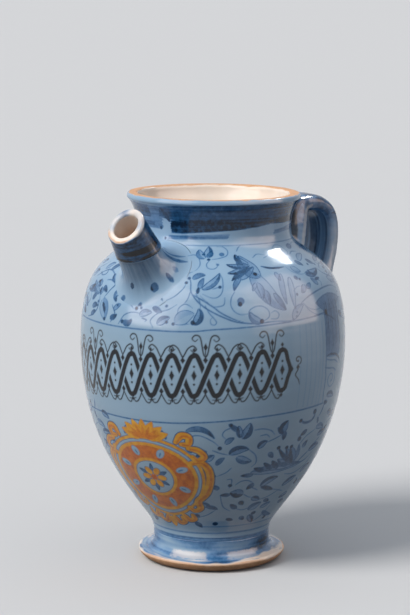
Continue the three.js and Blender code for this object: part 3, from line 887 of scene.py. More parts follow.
def patch(canvas, corners, tone, edge=0.0, layer="blue", lift=()):
    """A filled shape with its corners at places. lift names layers that are wiped off under it."""
    corners = as_points(corners)
    line = canvas.placed(np.vstack([corners, corners[:1]]))
    _, x, y, scale, middle = canvas.cells(line, 1.5)
    where, away, _, _ = canvas.near(line, 1.5)
    x = x / scale + middle
    inside = np.zeros(x.shape, bool)
    for (ax, ay), (bx, by) in zip(line[:-1], line[1:]):
        crosses = (ay > y) != (by > y)
        inside ^= crosses & (x < ax + (y - ay) * (bx - ax) / (by - ay + TINY))
    cover = soft(np.where(inside, away, -away))
    for name in lift:
        canvas.lift(name, where, cover)
    if tone:
        canvas.lay(layer, where, cover * tone)
    if edge:
        canvas.lay("blue", where, soft(0.35 - away) * edge)


def leaves(canvas, strength, text):
    """Each leaf of the text is: base, tip, width, bend, tone at its base, tone at its tip."""
    for row in text.split(";"):
        base, tip, *numbers = row.split()
        width, bend, base_tone, tip_tone = map(float, numbers)
        base_tone, tip_tone = min(base_tone * strength, 1), min(tip_tone * strength, 1)
        edge = 0.5 + 0.34 * max(base_tone, tip_tone)
        half = (1 if bend >= 0 else -1) if width >= 4 else 0
        leaf(canvas, f"{base} {tip}", width, bend, (base_tone * 0.8, tip_tone), edge, half)


def lines(canvas, width, tone, text):
    for route in text.split(";"):
        stroke(canvas, route, width, tone, 0.6, 0.3)


def dots(canvas, radius, tone, text):
    for place in as_points(text):
        dot(canvas, place, radius, tone)


# The neck

# Light blue strokes under the neck's dark bands: where each starts, its height there, degrees long
NECK_BANDS = ((-37, 206, 50), (48, 208.6, 40), (112, 207.5, 36), (176, 206.8, 44), (246, 208, 40))


def paint_neck(canvas):
    """Two broad dark brush bands under the lip, and short strokes between them and the ring line."""
    band(canvas, "-43,219.5 -20,217 0,217.3 30,217.6 70,217.5 130,218 200,217.4 311,219",
         "-43,226 -25,227 0,227.9 60,227.8 130,227.5 200,227.8 311,226.4", 0.7, 0.22, 41)
    band(canvas, "-34,210.2 -22,210.3 0,211.8 20,213 45,215.2 90,214.6 150,213",
         "-34,218 0,219.5 60,219.5 150,218.6", 0.92, 0.22, 43)
    band(canvas, "140,213.5 200,211.6 260,211.6 300,212.8", "140,218.6 200,219.3 260,219.2 300,218.8", 0.7,
         0.26, 45)
    band(canvas, "-110,213 -60,212.4 -38,212", "-110,226.2 -60,226.4 -38,225.6", 0.42, 0.3, 47)
    band(canvas, "-82,214.5 -60,214 -46,213.4", "-82,217 -60,216.5 -46,216", 0.6, 0.4, 48)
    stroke(canvas, "-38.5,224.5 -36,221 -33.5,217.5", 3.2, 0.85, 0.6, 0.5)
    dot(canvas, (-41.5, 212.8), 1.1, 0.8)
    for start, low, long in NECK_BANDS:
        band(canvas, [(start, low), (start + long / 2, low + 1), (start + long, low + 1.4)],
             [(start, low + 2.2), (start + long / 2, low + 3.9), (start + long, low + 4.3)],
             0.4, 0.4, 50 + start)
    stroke(canvas, "-37.6,207.4 -36.8,206", 1.6, 0.75)


# Foliage

def shoulder_foliage(canvas):
    """Curling stems with half-washed leaves, a bud, a heart leaf and a feathered leaf."""
    leaves(canvas, 1.15, """
        -5,197 -9.5,201.5 5 .15 .3 .55; -5,197.5 -3.6,203.2 5 -.1 .3 .7; -4,197.5 -1.6,201 3.4 -.1 .45 .7;
        -10,186 -4,188.2 3.6 .2 .4 .55; -5.5,181 3,189.5 4.6 -.12 .4 .7; -6.5,181 -4.8,187 3 .05 .3 .55;
        -7.3,178.4 -6.9,182 1.7 0 .95 .8; -8.6,161.3 -6.4,170.3 5.2 -.22 .85 .55;
        -16,161 -8,167 8 .1 .16 .22; 20,194 13.4,199 4.6 .2 .5 .95; 20,193.4 7,194 4.4 .12 .6 .9;
        18,192.4 7,189.4 4.2 .08 .7 .95; 15,191 8.7,185.4 2.8 0 .5 .95; 13.4,187 9.4,180 3.1 -.1 .25 .7;
        24,187 15.5,198.4 11 .1 .4 .62; 12,186 22,192.4 5.4 0 .62 .6; 20,190 33,168 11 -.1 .24 .3;
        21,184 22,174.4 4 .1 .25 .55; 24,180 25.4,171.4 4 0 .25 .62; 28,178 33,168 3.4 0 .25 .55;
        20.4,184 18,179.6 2.6 0 .2 .42; 33,189 34,184 3 0 .2 .36; 36,188 34,171 3.8 -.1 .15 .32;
        40,186 38,168 4.2 -.05 .12 .3; 21,162.3 15.5,168.4 4.6 .2 .4 .5; 36,162 43,170 5 .1 .2 .34""")
    lines(canvas, 0.6, 0.5, """
        -1,196.5 3,197 8,198.4 9,201 6,203 2,203.1; -2.4,196 -4,194 -3,192 0,191.6 2,193 1.4,194.6;
        -16,198 -12,198.6 -9,197 -7.6,194 -8.6,191.6 -10,190.4; -17,190.6 -14,189 -10.6,190;
        3,189.5 4.3,186 4,180 2,176.8 -1,176.3 -5,178.4; 2.8,182.2 1,181.6 -.6,181;
        4.9,176.4 4.8,174 4,172 0,171.3 -3,174 -6,177.4; -15.4,167 -15,170 -13,172.2 -11,172 -9,170.4;
        -17,160.8 -14,160.5 -10,161.3; -10.4,180 -11.4,175.4 -13,172.4; -8,178.6 -6,174 -5.6,170;
        -3.6,172 -2,168 0,165 1.3,162.5 .5,160.9 -1,161.5 -1.2,164 0,165.6;
        9.5,179.6 7.8,176 7.5,172 9,168.5 11.5,166.8 15,167;
        20.6,162 24,164.5 24.3,168 22,170.8 18.4,171 15.4,168.6 15.6,165 18,162.4;
        25,163.5 28,163.5 29,166 27.4,168 25.4,167; 24,197 28,198.6 33,198; 31,196.5 35,197.6 39,199.4;
        15,200.5 17,202.6 19,203.6; 43,170.4 46,166 50,163.2 55,162.2""")
    lines(canvas, 0.85, 0.58, """
        -12,187 -10.8,184 -10.4,180 -9,177 -6,173 -2,169.4 4,165.4 10,162.5 18,161.3 26,161.9 36,161.4;
        -9.6,178 -5,175 0,171 3,168 8,164.5 13,162.2;
        42,171 46,173.4 50,175 55,176.3 62,177.3 70,177 76,174.6""")
    stroke(canvas, "26.6,192.4 31,191.3 36,191 41,191.2", 1.5, 0.85)
    dots(canvas, 1.0, 0.8, "-6.4,199 -3,196.4 -12,186.6 -13,184.2 -17,160.8 -20,161.7 2.9,182.2")
    dots(canvas, 1.4, 0.95, "-8.6,162 21.4,188.6 20.8,162.4 11.6,172.7")
    dots(canvas, 2.2, 0.5, "12,174.4")
    dots(canvas, 1.6, 0.5, "5,199 44,185")
    dots(canvas, 0.9, 0.5, "36,162 38,163.6 38.6,166 38,168.6 2.2,193.8")


def shoulder_side(canvas):
    """The foliage beyond the rolled ends: a flower, a long leaf and pointed leaves."""
    leaves(canvas, 1, """
        52,186.2 66,187.8 5 -.08 .55 .85; 57,182.4 62,183 1.7 0 .8 .8; 72,191 84,192 3.4 .05 .4 .5;
        48,178.4 52,181.2 3 0 .35 .4; 56,193 66,196 4 .1 .2 .35; 70,182 82,180 4.4 -.1 .3 .6;
        45,195.6 49.4,199.6 4.4 .1 .18 .4; 51.4,193 56,190.4 3.2 .1 .5 .7;
        45.6,191 50.4,188 4.6 -.12 .16 .5; 58,199.6 66,201 3.4 .1 .6 .35; 63,193 68,190 3.4 0 .7 .4;
        76,196 86,198 4 .1 .5 .3; 47,181 43.6,176.6 3.8 .1 .2 .55; 58,179.6 54,183.6 3.2 0 .3 .6;
        53,186 60.6,184.6 4 0 .8 .95""")
    lines(canvas, 0.55, 0.45, """
        43,201 47,202.4 52,201.6 54,198.6 51,196.8; 42,191 44,188.4 48,186.6 52,186.2;
        41.6,196 44,193.4 47.6,193; 60,177.6 61,180.6 58.6,182.4; 66,201.4 72,202 77,200.4 76,197;
        39,178 42.4,180.2 46,180; 43,171 46,167.4 51,165.8 56,167""")
    dots(canvas, 0.9, 0.7, "46,184 56.6,187.4 49.4,199.8 68.6,189.6 40.6,176 61,190.6")
    lines(canvas, 0.8, 0.5, """
        70,187.4 74,189 79,189; 54,197 58,198 63,197.6; 66,187.6 70,184 76,182.4 84,184""")


def shoulder_left(canvas):
    """The foliage on both sides of the spout."""
    leaves(canvas, 1.4, """
        -62,173 -72,179 5 .1 .4 .6; -60,172.4 -62,176.4 4 0 .5 .85; -63,177 -66,180.6 4 .1 .45 .75;
        -66,175 -78,173 4.6 0 .4 .6; -57.6,170.4 -53.4,158 9 .05 .28 .3;
        -41.6,160 -36.8,161.6 3.6 -.3 .5 .5; -70,186 -64,190 4 .1 .25 .4; -84,188 -78,190 4 0 .6 .5;
        -48,165 -44,169 3 .1 .2 .35; -90,165 -82,172 6 .1 .5 .3""")
    stroke(canvas, "-56.6,168 -54.8,165 -54,162", 2.6, 0.85)
    lines(canvas, 0.8, 0.66, """
        -60,181 -56,181.3 -52,179.5 -54,176 -57,171; -69,157.4 -64,159.5 -61,163 -60,168 -61,172;
        -31.6,162.8 -29.4,162 -30,161; -72,184 -68,182.6 -64.6,184 -66,187;
        -74,181 -68,185 -62,186.4 -55,184; -80,158 -84,163 -92,166 -98,162; -49,158 -47,163 -49.6,168""")
    leaves(canvas, 1.4, """
        -79,167 -72,163 4.4 .1 .3 .7; -68,168.4 -64,172.4 3.4 0 .5 .35; -66,164 -60.6,165.6 3.2 .1 .4 .7;
        -52,181.4 -57,185 4 .1 .35 .7; -49.6,172 -46,177.6 4 .1 .3 .55; -75,193 -69,196 3.6 0 .4 .7;
        -50,160.4 -45.6,163 3.2 -.1 .5 .8; -33,164 -27,166.4 4 .12 .22 .5;
        -24,159.6 -18.6,164.4 4.6 .1 .3 .6; -27,169.6 -22.4,167 3.2 0 .5 .3; -98,176 -90,181 5 .1 .3 .7;
        -96,190 -88,194 4.4 0 .6 .4""")
    lines(canvas, 0.6, 0.6, """
        -26,158 -27.4,162 -24,166.6 -19.4,169 -16,172; -44,157.6 -41,163.4 -36,165.6 -30,164.6;
        -47,178 -50,181 -54,180.4; -80,160 -74,163 -70,168 -72,172; -90,186 -84,183.6 -78,186 -72,190;
        -21,174 -17.4,176.6 -14,181 -13,184""")
    dots(canvas, 0.9, 0.7, "-46,168.4 -61,168 -75.6,170 -57,188.6 -20.6,170.8 -32.6,168.6")
    stroke(canvas, "-40,175 -39,171 -36.4,167.4", 1.0, 0.5)
    stroke(canvas, "-24.5,176.4 -22.6,173.4", 1.1, 0.6)
    dots(canvas, 1.2, 0.85, "-53.6,159 -42,159.4 -67,178.8 -35,168")
    leaves(canvas, 1.1, """
        -74,172 -69,176.6 3.4 .1 .7 .9; -60,177.4 -56,174.4 3 0 .6 .9; -82,180 -76,184 4.4 .1 .5 .85;
        -88,172 -84,177 4 0 .7 .9; -78,162 -73,159 3.6 0 .6 .9; -63,186 -57,190.6 3.6 .1 .5 .8;
        -68,192 -60,195 4 0 .6 .85; -94,160 -88,162.6 4.4 .1 .6 .9; -66,159.4 -61.6,162.4 3 0 .5 .85;
        -50,174 -47.4,170 2.6 0 .5 .8; -93,182 -99,187 4.2 0 .5 .8; -84,166 -79,169.6 3 0 .6 .9""")


def lower_foliage(canvas):
    """Leaves, a tulip and a long serrated leaf under the band, about 80 degrees long."""
    leaves(canvas, 1.5, """
        -12,96 1,91.6 3.4 .22 .35 .6; -13,87.6 -10,90.4 3 0 .8 .8; 13.4,91.4 16.6,101.4 6 -.1 .8 .42;
        13,92 11.6,100 4 .05 .95 .5; 12,96 7,101 3 0 .4 .85; 8,81 17.4,84 5.6 .15 .95 .5;
        11.6,79.6 19.6,76.2 5.2 -.1 .35 .6; 22,84.2 26.2,88.6 4.2 .15 .95 .5;
        33,92.6 35.4,100.6 6 .1 .8 .65; 33.6,92.4 30.4,97 3 0 .95 .5; 34.6,94 34.6,88 3.2 0 .5 .92;
        46,71 33,83.2 3 .08 .5 .9; 46,71 40.6,83 6 0 .9 .6; 46,72 46,83 3.6 -.1 .3 .4;
        45,71 37.6,82.4 4.2 0 .28 .6; 20,68 54,69.6 7 .02 .34 .45; 28,68.4 21.4,71 3.4 0 .5 1;
        32,69 26.4,74.2 3 0 .5 1; 36,69 30.8,75 3.6 0 .5 .95; 42,69.4 34,75.6 4 0 .4 .5;
        22,66.4 15,66.3 2.8 0 .35 1; 56.4,76.8 66,78.6 4.6 .1 .85 .4; 28.8,57.4 39,62.6 5.2 .15 .5 .75;
        29,57.5 39.4,53.6 3.2 0 .95 .55; 19,53 10.4,54.4 7.2 0 .75 .85; 11,53 4.8,52.8 2.8 0 .5 .95;
        25.4,50 32,47.4 4.2 0 1 .5; 27,40 35,45 6 .1 .4 .5; 36,41 43.6,44 4 0 .3 .42;
        29,36.4 36,30 4 0 .6 .85; 11,34.6 17,33.4 2.8 0 .95 .5; 41,38 56,33 3.2 -.1 .4 .42;
        46,55 56,60 4.6 .1 .6 .4; 58,62 66,66 4 .1 .4 .7; 58,48 50,46 4 0 .5 .8; -12.4,38 -9,35.8 3 0 .8 .5;
        -4,44 4,42 3.4 .1 .4 .6; 56,92 64,90 4 .1 .3 .5; 2,74 6,79 3.2 .1 .5 .35; 17,42 12,46 3.4 0 .5 .7;
        -3,84 -8,80 3.6 .1 .4 .8; 2,66 -3,70 3.6 .1 .3 .8; 24,60 20,56.4 3.4 0 .4 .9; 36,47 41,45 3 0 .4 .9;
        6,88 10,92 3.4 .1 .2 .5; 28,81 31,77 3 0 .3 .8; 50,80 52,84.6 3.6 .1 .3 .8; 60,86 68,87 4 .1 .5 .8;
        18,48 21,44.6 3.2 0 .9 .6; 53,42 60,42 3.6 .1 .4 .8; 64,54 70,57 3.8 .1 .5 .8;
        4,57 0,60 3.2 0 .4 .9; 22,36 26,33 3 0 .4 .8; 64,100 70,97 4 .1 .7 .4; 49,92 45,89 3 0 .5 .8""")
    lines(canvas, 0.65, 0.6, """
        9,99 5.6,97 4.4,94 6,91.4; 19,96.6 23,97 27,95.4 29.4,92.4; 22,92.6 25,93 27,91;
        -12,92 -6,93.6 0,90 3,86.6; 17.4,84 21,80 22,75 20,72; 26,88 30,90 33.4,92; 46,83 50,88 56,91;
        8,64 10.4,64 10.6,60 9.6,58; 5,52.8 6,48 8,43.6 13,40.6; 13,60 16,62.4 20,62.6 24,60;
        0,84 4,82 7.6,81; 27.6,55 24,57 20,58; 9.6,72 7,69 2.6,66.4; 60,81 64,84 66,88; 58,58 61,56 64,54.4;
        19,53 23,50.6 26,50; 32,47.6 38,49 46,53; 39,54 44,52.6 50,50.6; 17,42 22,41 27,42.6;
        43,64 50,63 58,66 64,72; -9,36 -3,38 3,42; 36,30.4 42,34 46,41""")
    lines(canvas, 1.0, 0.62, "24,68.4 32,68.4 40,68 48,69.4 56,70.6 62,75; 50,71 53,74 56.6,77")
    stroke(canvas, "43,99 46,97.2 50,97.5 52,100 52,103.4", 1.8, 0.6)
    stroke(canvas, "55.4,98.6 56.6,94.4", 2.2, 0.7)
    stroke(canvas, "56.4,99.6 58,103.4 59,107", 1.2, 0.6)
    dots(canvas, 1.3, 0.95, "3.4,85.4 33,83.3 38,82.6 43,99 8,100.2 10,59.8 48,32 41,82.6")
    dots(canvas, 1.7, 0.85, "3,31 51.8,103 32.6,37.4 45,87 60,55")


def side_foliage(canvas):
    """A tall scroll of leaves across the height of the band, for the handle's side."""
    lines(canvas, 0.8, 0.55, """
        0,104 -6,112 -5,122 2,130 8,138 6,148 -1,153 -6,150; -5,122 -10,128 -11,136 -7,140;
        2,130 8,128 12,122 10,116; -6,112 -11,110 -14,105; 7,143 12,146 15,152""")
    leaves(canvas, 1, """
        -6,150 -11,145 5 .1 .5 .85; -7,140 -2,145 5 .15 .35 .6; 10,116 4,113 5 .1 .5 .9;
        12,122 16,128 5 .1 .35 .6; -11,136 -15,142 4.6 -.1 .3 .7; -14,105 -9,102.6 3.4 0 .5 .9;
        0,104 7,107 4.6 .1 .4 .65; 8,138 14,136 4.4 .1 .4 .8; -10,128 -16,124 4.4 .1 .4 .7;
        15,152 10,156 4 .1 .3 .6; -1,153 4,157 4 -.1 .4 .6; -5,118 0,121 3.4 0 .3 .5""")
    dots(canvas, 1.2, 0.85, "-15.4,116 15.6,111 15,143 -14.6,152 .6,137")


# The band

def rolled_end(canvas):
    """One rolled end of the ribbon that the band is, seen to the right of it."""
    patch(canvas, """
        51,169.4 54,171.4 58,172.8 63,173.5 68,172.6 72,171 75,169 72,168 70,166 69,164 57,164
        54,166""", 0.44, 0.6)
    patch(canvas, "55.4,168 70,168 69.6,150 69.4,136 66,134.6 60,135.4 56,136", 0.4)
    for number, degree in enumerate(np.linspace(56, 69.4, 12)):
        top = (degree - 0.6 * cos(number), 171 - abs(degree - 63) * 0.4)
        foot = (degree + 0.1, 136 + number % 3)
        tone = 0.6 + 0.12 * (number % 3)
        stroke(canvas, [top, (degree, 160), (degree + 0.2, 148), foot], 1.0, tone, 0.7, 0.4)
    stroke(canvas, "56.6,136.4 59,137.2 63,136.6 66,135.4 69,132.6 70.6,129", 1.6, 0.85)
    lines(canvas, 0.8, 0.6, """
        56.6,134.6 60,133.4 64,132.6 68,130; 55.6,129.6 59,128.6 63,127.8 66.4,125.4;
        57,163.2 52,162.6 44,161.6; 57,107.6 56.2,114 56.4,124 56,130 55.8,160;
        70,160 73,157.4 80,156 90,157""")
    curl(canvas, (61.4, 121.6), 6.4, 1.35, 60, -1, 0.7, 0.5)
    stroke(canvas, "55.6,162 60,160.4 66,156.4", 1.2, 0.8)
    dot(canvas, (57.4, 163.2), 1.7, 1.0)
    leaves(canvas, 1, """
        59.4,111.6 67,109.4 4.2 .1 .95 .7; 58,107.6 61.4,106.6 2.8 0 .95 .9;
        71,161 74.4,158.4 3.2 0 .8 .95""")
    for degree in (39, 42.6, 45.4, 48.4, 51, 53.2):
        tone = 0.1 + 0.03 * (degree % 3)
        stroke(canvas, [(degree, 108), (degree + 0.3, 134), (degree, 158)], 0.8, tone, 1, 1)


BRAID_STEP = 9.4
BRAID_CROSSINGS = 14


def frieze_middle(degree):
    """The height of the frieze's middle line, which rises a little to the right."""
    return 131 + 0.06 * degree


def strand(canvas, places, width, clear=0.0):
    """A broad even line in black. clear is the width of the rim it wipes off what it passes over."""
    line = canvas.placed(smooth_line(places))
    where, away, share, _ = canvas.near(line, width + clear + 1)
    if clear:
        middle = (share > 0.22) & (share < 0.78)
        canvas.lift("black_and_shade", where, soft(width / 2 + clear - away) * middle)
    canvas.lay("black_and_shade", where, soft(width / 2 - away))


def braid_crossing(canvas, tall):
    """Two strands that cross, the falling one on top, with mirrored hairline scrolls at both ends."""
    half = BRAID_STEP / 2
    rise = 7.4 if tall else 1.6
    for side in (1, -1):
        falling = as_points("1,12.4 .74,11.5 .44,7.4 .14,2.3 -.14,-2.3 -.44,-7.4 -.74,-11.5 -1,-12.4")
        strand(canvas, falling * (-half * side, 1), 2.9, 0.9 if side < 0 else 0)
    for side in (-1, 1):
        above = as_points("0,11 .9,13.4 2.2,15 4.2,16.6 5.6,14.6 4.4,13 3.3,14.2")
        above[2:, 1] += rise
        stroke(canvas, above * (side, 1), 0.85, 1, 1, 0.6, "black_and_shade")
        below = as_points("0,-11 .8,-13.4 2.2,-16.4 3.6,-16.8 4,-15 3,-14.6")
        stroke(canvas, below * (side, 1), 0.8, 1, 1, 0.6, "black_and_shade")
    for height in (9.4, -9.4):
        lozenge(canvas, (0, height), 3, 4.2)
    if tall:
        lozenge(canvas, (0, 17), 2.6, 5)
        stroke(canvas, "0,11 0,16", 0.7, 1, 1, 1, "black_and_shade")


def braid_eye(canvas):
    lozenge(canvas, (0, 0), 3.2, 6.6)
    for height in (5.4, -5.4):
        dot(canvas, (0, height), 0.7, 1, "black_and_shade")
    for height in (15.2, -15.2):
        lozenge(canvas, (0, height), 2.2, 3)


def paint_frieze(canvas):
    """A black braid along the band with lozenges in its eyes, and a small scroll at each end."""
    reach = BRAID_STEP * (BRAID_CROSSINGS - 1) / 2
    for number in range(BRAID_CROSSINGS):
        degree = SPOUT_VIEW_DEG + reach - number * BRAID_STEP
        canvas.at(degree, frieze_middle(degree))
        braid_crossing(canvas, number % 3 == 0)
        canvas.at(degree - BRAID_STEP / 2, frieze_middle(degree))
        braid_eye(canvas)
    for side in (-1, 1):
        end = SPOUT_VIEW_DEG + side * (reach + BRAID_STEP / 2)
        canvas.at(end, frieze_middle(end), side)
        braid_eye(canvas)
        strand(canvas, "0,12.4 1.6,11 2.6,6 3.9,0 2.6,-6 1.6,-11 0,-12.4", 2.7)
        lozenge(canvas, (4.6, 0), 3, 4.6)
        curl(canvas, (8, 5), 3, 1.0, -90, 1, 0.8, 1.0, "black_and_shade")
        stroke(canvas, "8,-1 6.8,-4 8.4,-7 9.2,-10", 0.8, 1, 1, 0.5, "black_and_shade")
        lozenge(canvas, (8, 0.6), 2.6, 4)
    canvas.at()


# The medallion under the spout

MEDALLION = (-33, 63)
# Width and places of each scroll on its right side, in mm from its middle
MEDALLION_SCROLLS = (
    (4.4, "17,25.6 20,30 23.6,29 23,24.6 19.6,24.4"),
    (4, "23,22 28,20.6 31,16.6 27.6,14 25,16.6"),
    (4.8, "24,12 29,12.6 33,8 34,0 31.6,-9 26,-15 27,-20 22.4,-22.4 19,-19.6"),
    (4, "12,-25.6 16,-29.6 20.6,-28.6 20,-25.6"),
    (3.6, "3,-28 7,-32.4 11.6,-31 10,-28"),
)


def paint_medallion(canvas):
    """A double yellow frame round an orange field, with a rosette on a pale disc and a palmette above."""
    degree, height = MEDALLION
    unit = canvas.mm_to_degrees(1, height)
    canvas.at(degree, height, 1, unit)
    ring = [radians(a) for a in range(0, 360, 10)]

    def spoke(wide, high, angle):
        return wide * cos(angle), high * sin(angle)

    def oval(wide, high):
        return [spoke(wide, high, a) for a in ring]

    def petal(out, long, wide, angle):
        return [((out + long * cos(t)) * cos(angle) - wide * sin(t) * sin(angle),
                 ((out + long * cos(t)) * sin(angle) + wide * sin(t) * cos(angle)) * 0.86) for t in ring[::2]]

    patch(canvas, oval(33, 27.5), 1, 0.8, "yellow", ("blue",))
    patch(canvas, oval(31, 25.6), 0, 0.75, "blue", ("yellow",))
    patch(canvas, oval(28.8, 23.4), 1, 0.6, "yellow", ("blue",))
    patch(canvas, oval(26.4, 21.2), 0.95, 0.3, "orange")
    patch(canvas, oval(15.4, 13), 1, 0.7, "yellow", ("orange",))
    patch(canvas, oval(13.2, 11), 0, 0.7, "blue", ("yellow", "orange"))
    for number in range(8):
        angle = 2 * pi * (number + 0.5) / 8
        patch(canvas, petal(21, 4, 2.5, angle), 0, 0.5, "blue", ("yellow", "orange"))
        stroke(canvas, [spoke(18.6, 16, angle), spoke(22, 19, angle)], 1.1, 0.5)
        dot(canvas, spoke(20.6, 17.4, angle + pi / 8), 1.0, 0.75)
    for number in range(6):
        angle = 2 * pi * number / 6
        patch(canvas, petal(5.4, 3.1, 2.1, angle), 1, 0.7, "yellow", ("blue",))
        side = angle + pi / 6
        leaf(canvas, [spoke(5, 4.3, side), spoke(11, 9.4, side)], 2.4, 0, (0.5, 0.9), 0.9)
    dot(canvas, (0, 0), 2.3, 1, "orange")
    dot(canvas, (0, 0), 0.8, 0.9)
    for number in range(-3, 4):
        angle = radians(90 - 24 * number)
        base, tip = (2.4 * cos(angle), 26), (15 * cos(angle), 27 + 11.5 * sin(angle))
        leaf(canvas, [base, tip], 6.4, 0, (1, 1), 0, 0, "yellow")
        heart = [(2 * cos(angle), 26), (tip[0] * 0.7, 27 + 7.6 * sin(angle))]
        leaf(canvas, heart, 2.6, 0, (0.8, 0.6), 0, 0, "orange")
        leaf(canvas, [base, tip], 6.6, 0, (0, 0), 0.6)
    for side in (-1, 1):
        canvas.at(degree, height, side, unit)
        for width, places in MEDALLION_SCROLLS:
            route = as_points(places) * (1.05, 1)
            stroke(canvas, route, width + 1.2, 0.85, 0.7, 0.6)
            stroke(canvas, route, width, 1, 0.7, 0.6, "yellow")
            stroke(canvas, route + (0.5 / unit, -0.4), width * 0.35, 0.8, 0.5, 0.4, "orange")
        leaves(canvas, 1, """
            13,27 9,34 3 0 .8 .6; 26,19 23,24 3 0 .9 .8; 30,-16 36,-20 4 0 .9 .6; 33,14 38,18 4 0 .6 .8;
            22,-31 28,-35 3.4 0 .8 .9""")
    canvas.at(degree, height, 1, unit)
    leaf(canvas, "0,-28 0,-36", 5, 0, (1, 1), 0, 0, "yellow")
    leaf(canvas, "0,-28 0,-36", 5.2, 0, (0, 0), 0.8)
    canvas.at()


# What is painted round the body, in order. Each home is its turn in degrees, and -1 where it is mirrored
ROUND_THE_BODY = (
    (shoulder_foliage, ((0, 1),)),
    (shoulder_side, ((0, 1),)),
    (shoulder_left, ((0, 1),)),
    (shoulder_foliage, ((88, 1), (-110, -1), (186, 1))),
    (shoulder_side, ((215, -1),)),
    (lower_foliage, ((0, 1), (79, 1), (210, -1), (236, 1))),
    (rolled_end, ((0, 1), (2 * SPOUT_VIEW_DEG, -1))),
    (side_foliage, ((93, 1), (133, -1), (173, 1), (208, -1))),
)


def paint_body(canvas):
    paint_lines(canvas)
    paint_neck(canvas)
    for paint, homes in ROUND_THE_BODY:
        for turn, flip in homes:
            canvas.at(turn, 0, flip)
            paint(canvas)
    canvas.at()
    paint_frieze(canvas)
    paint_medallion(canvas)
    level = canvas.lengths[:, None]
    rim_wear = wobble(len(level), COLUMNS, (6, 20), 61) * 0.7
    lip_start = canvas.lengths[np.argmax(canvas.heights > LIP_Z + 2.5)]
    worn = soft(level - lip_start + rim_wear) * soft(canvas.lengths[-1] - 2.2 - level - rim_wear)
    canvas.lay_all("worn", worn)


def paint_foot(canvas, height):
    """Blue brushed round the slope, cream glaze at the edge, unglazed clay below it, and two pale patches on
    the slope that are painted reflections.
    """
    shape = canvas.layers["blue"].shape
    degree = canvas.columns[None, :]
    bristles = wobble(*shape, (3, 90), 71)
    blots = wobble(*shape, (14, 46), 72)
    on_slope = soft(height - FOOT_EDGE_RISE - 0.8 + bristles * 0.5)
    blue = (0.34 + 0.22 * bristles + 0.26 * blots) * on_slope
    # Less blue under the larger painted reflection on the slope
    blue = blue * (1 - 0.9 * hump(degree, -22, 17) * hump(height, 9, 3.4))
    for middle, half, level, reach, tone in ((60, 12, 13, 3.6, 0.7), (8, 12, 9.4, 2.2, 0.4),
                                             (-46, 12, 10.5, 2, 0.25)):
        dark_patch = hump(degree, middle, half) * hump(height, level, reach)
        blue += tone * dark_patch * on_slope * (1 + 0.5 * blots)
    canvas.lay_all("blue", np.clip(blue, 0, 1))
    edge_wear = wobble(*shape, (5, 30), 73)
    slow = wobble(*shape, (60, 70), 74)
    worn_side = hump(degree, 58, 26)
    pale_glaze_and_sheen = soft(FOOT_EDGE_RISE + 1.3 + 1.1 * worn_side - height + edge_wear * 0.7)
    golden = 0.4 * worn_side * pale_glaze_and_sheen
    grain = wobble(*shape, (1.6, 5), 75)
    # Two pale patches on the slope: painted reflections
    for middle, half, tone in ((-22, 17, 0.44), (31, 15, 0.3)):
        inside = np.minimum(half - np.abs(degree - middle), (1.9 - np.abs(height - 9.3)) * 5)
        pale_glaze_and_sheen = np.maximum(pale_glaze_and_sheen, np.clip(inside / 3 + 0.5 + grain * 0.7, 0, 1) * tone)
    canvas.lay_all("pale_glaze_and_sheen", pale_glaze_and_sheen)
    tan_edge = soft(0.9 * slow + 0.5 - 0.5 * np.abs(height - FOOT_EDGE_RISE) + edge_wear * 0.4) * 0.8
    under = soft(FOOT_EDGE_RISE + 0.1 - height + edge_wear * 0.5)
    tan_edge = np.maximum(tan_edge * (height < FOOT_EDGE_RISE + 1.4), golden)
    canvas.lay_all("worn", np.maximum(tan_edge, under))


# Share of the collar's length, half width as a share, tone, and the degrees where a stroke starts and ends
# The black strokes along the collar's lower edge are partly paint and partly a painted shadow of the collar
# on the cone
COLLAR_STROKES = (
    (0.58, 0.12, 1, -74, 52), (0.9, 0.12, 1, -88, 8), (0.96, 0.09, 1, 12, 84),
    (0.78, 0.05, 0.85, -56, -26), (0.3, 0.05, 0.85, -30, 80), (0.14, 0.06, 0.9, -20, 60),
    (0.66, 0.08, 0.9, 110, 200), (0.9, 0.08, 0.9, -190, -90),
)
# Degrees round the spout, lengths above the skirt's edge where a stroke starts and ends, width and tone
SKIRT_STROKES = (
    (-86, 29.5, 22.5, 2.2, 0.8), (-100, 10, 5, 1.6, 0.6), (-168, 21, 9, 2, 0.6), (172, 18, 11, 2.4, 0.34),
    (150, 34, 4, 2, 0.5), (138, 32, 6, 1.4, 0.4), (-64, 12, 5, 2, 0.5), (60, 12, 5, 1.6, 0.4),
    (20, 14, 6, 2.4, 0.6),
)


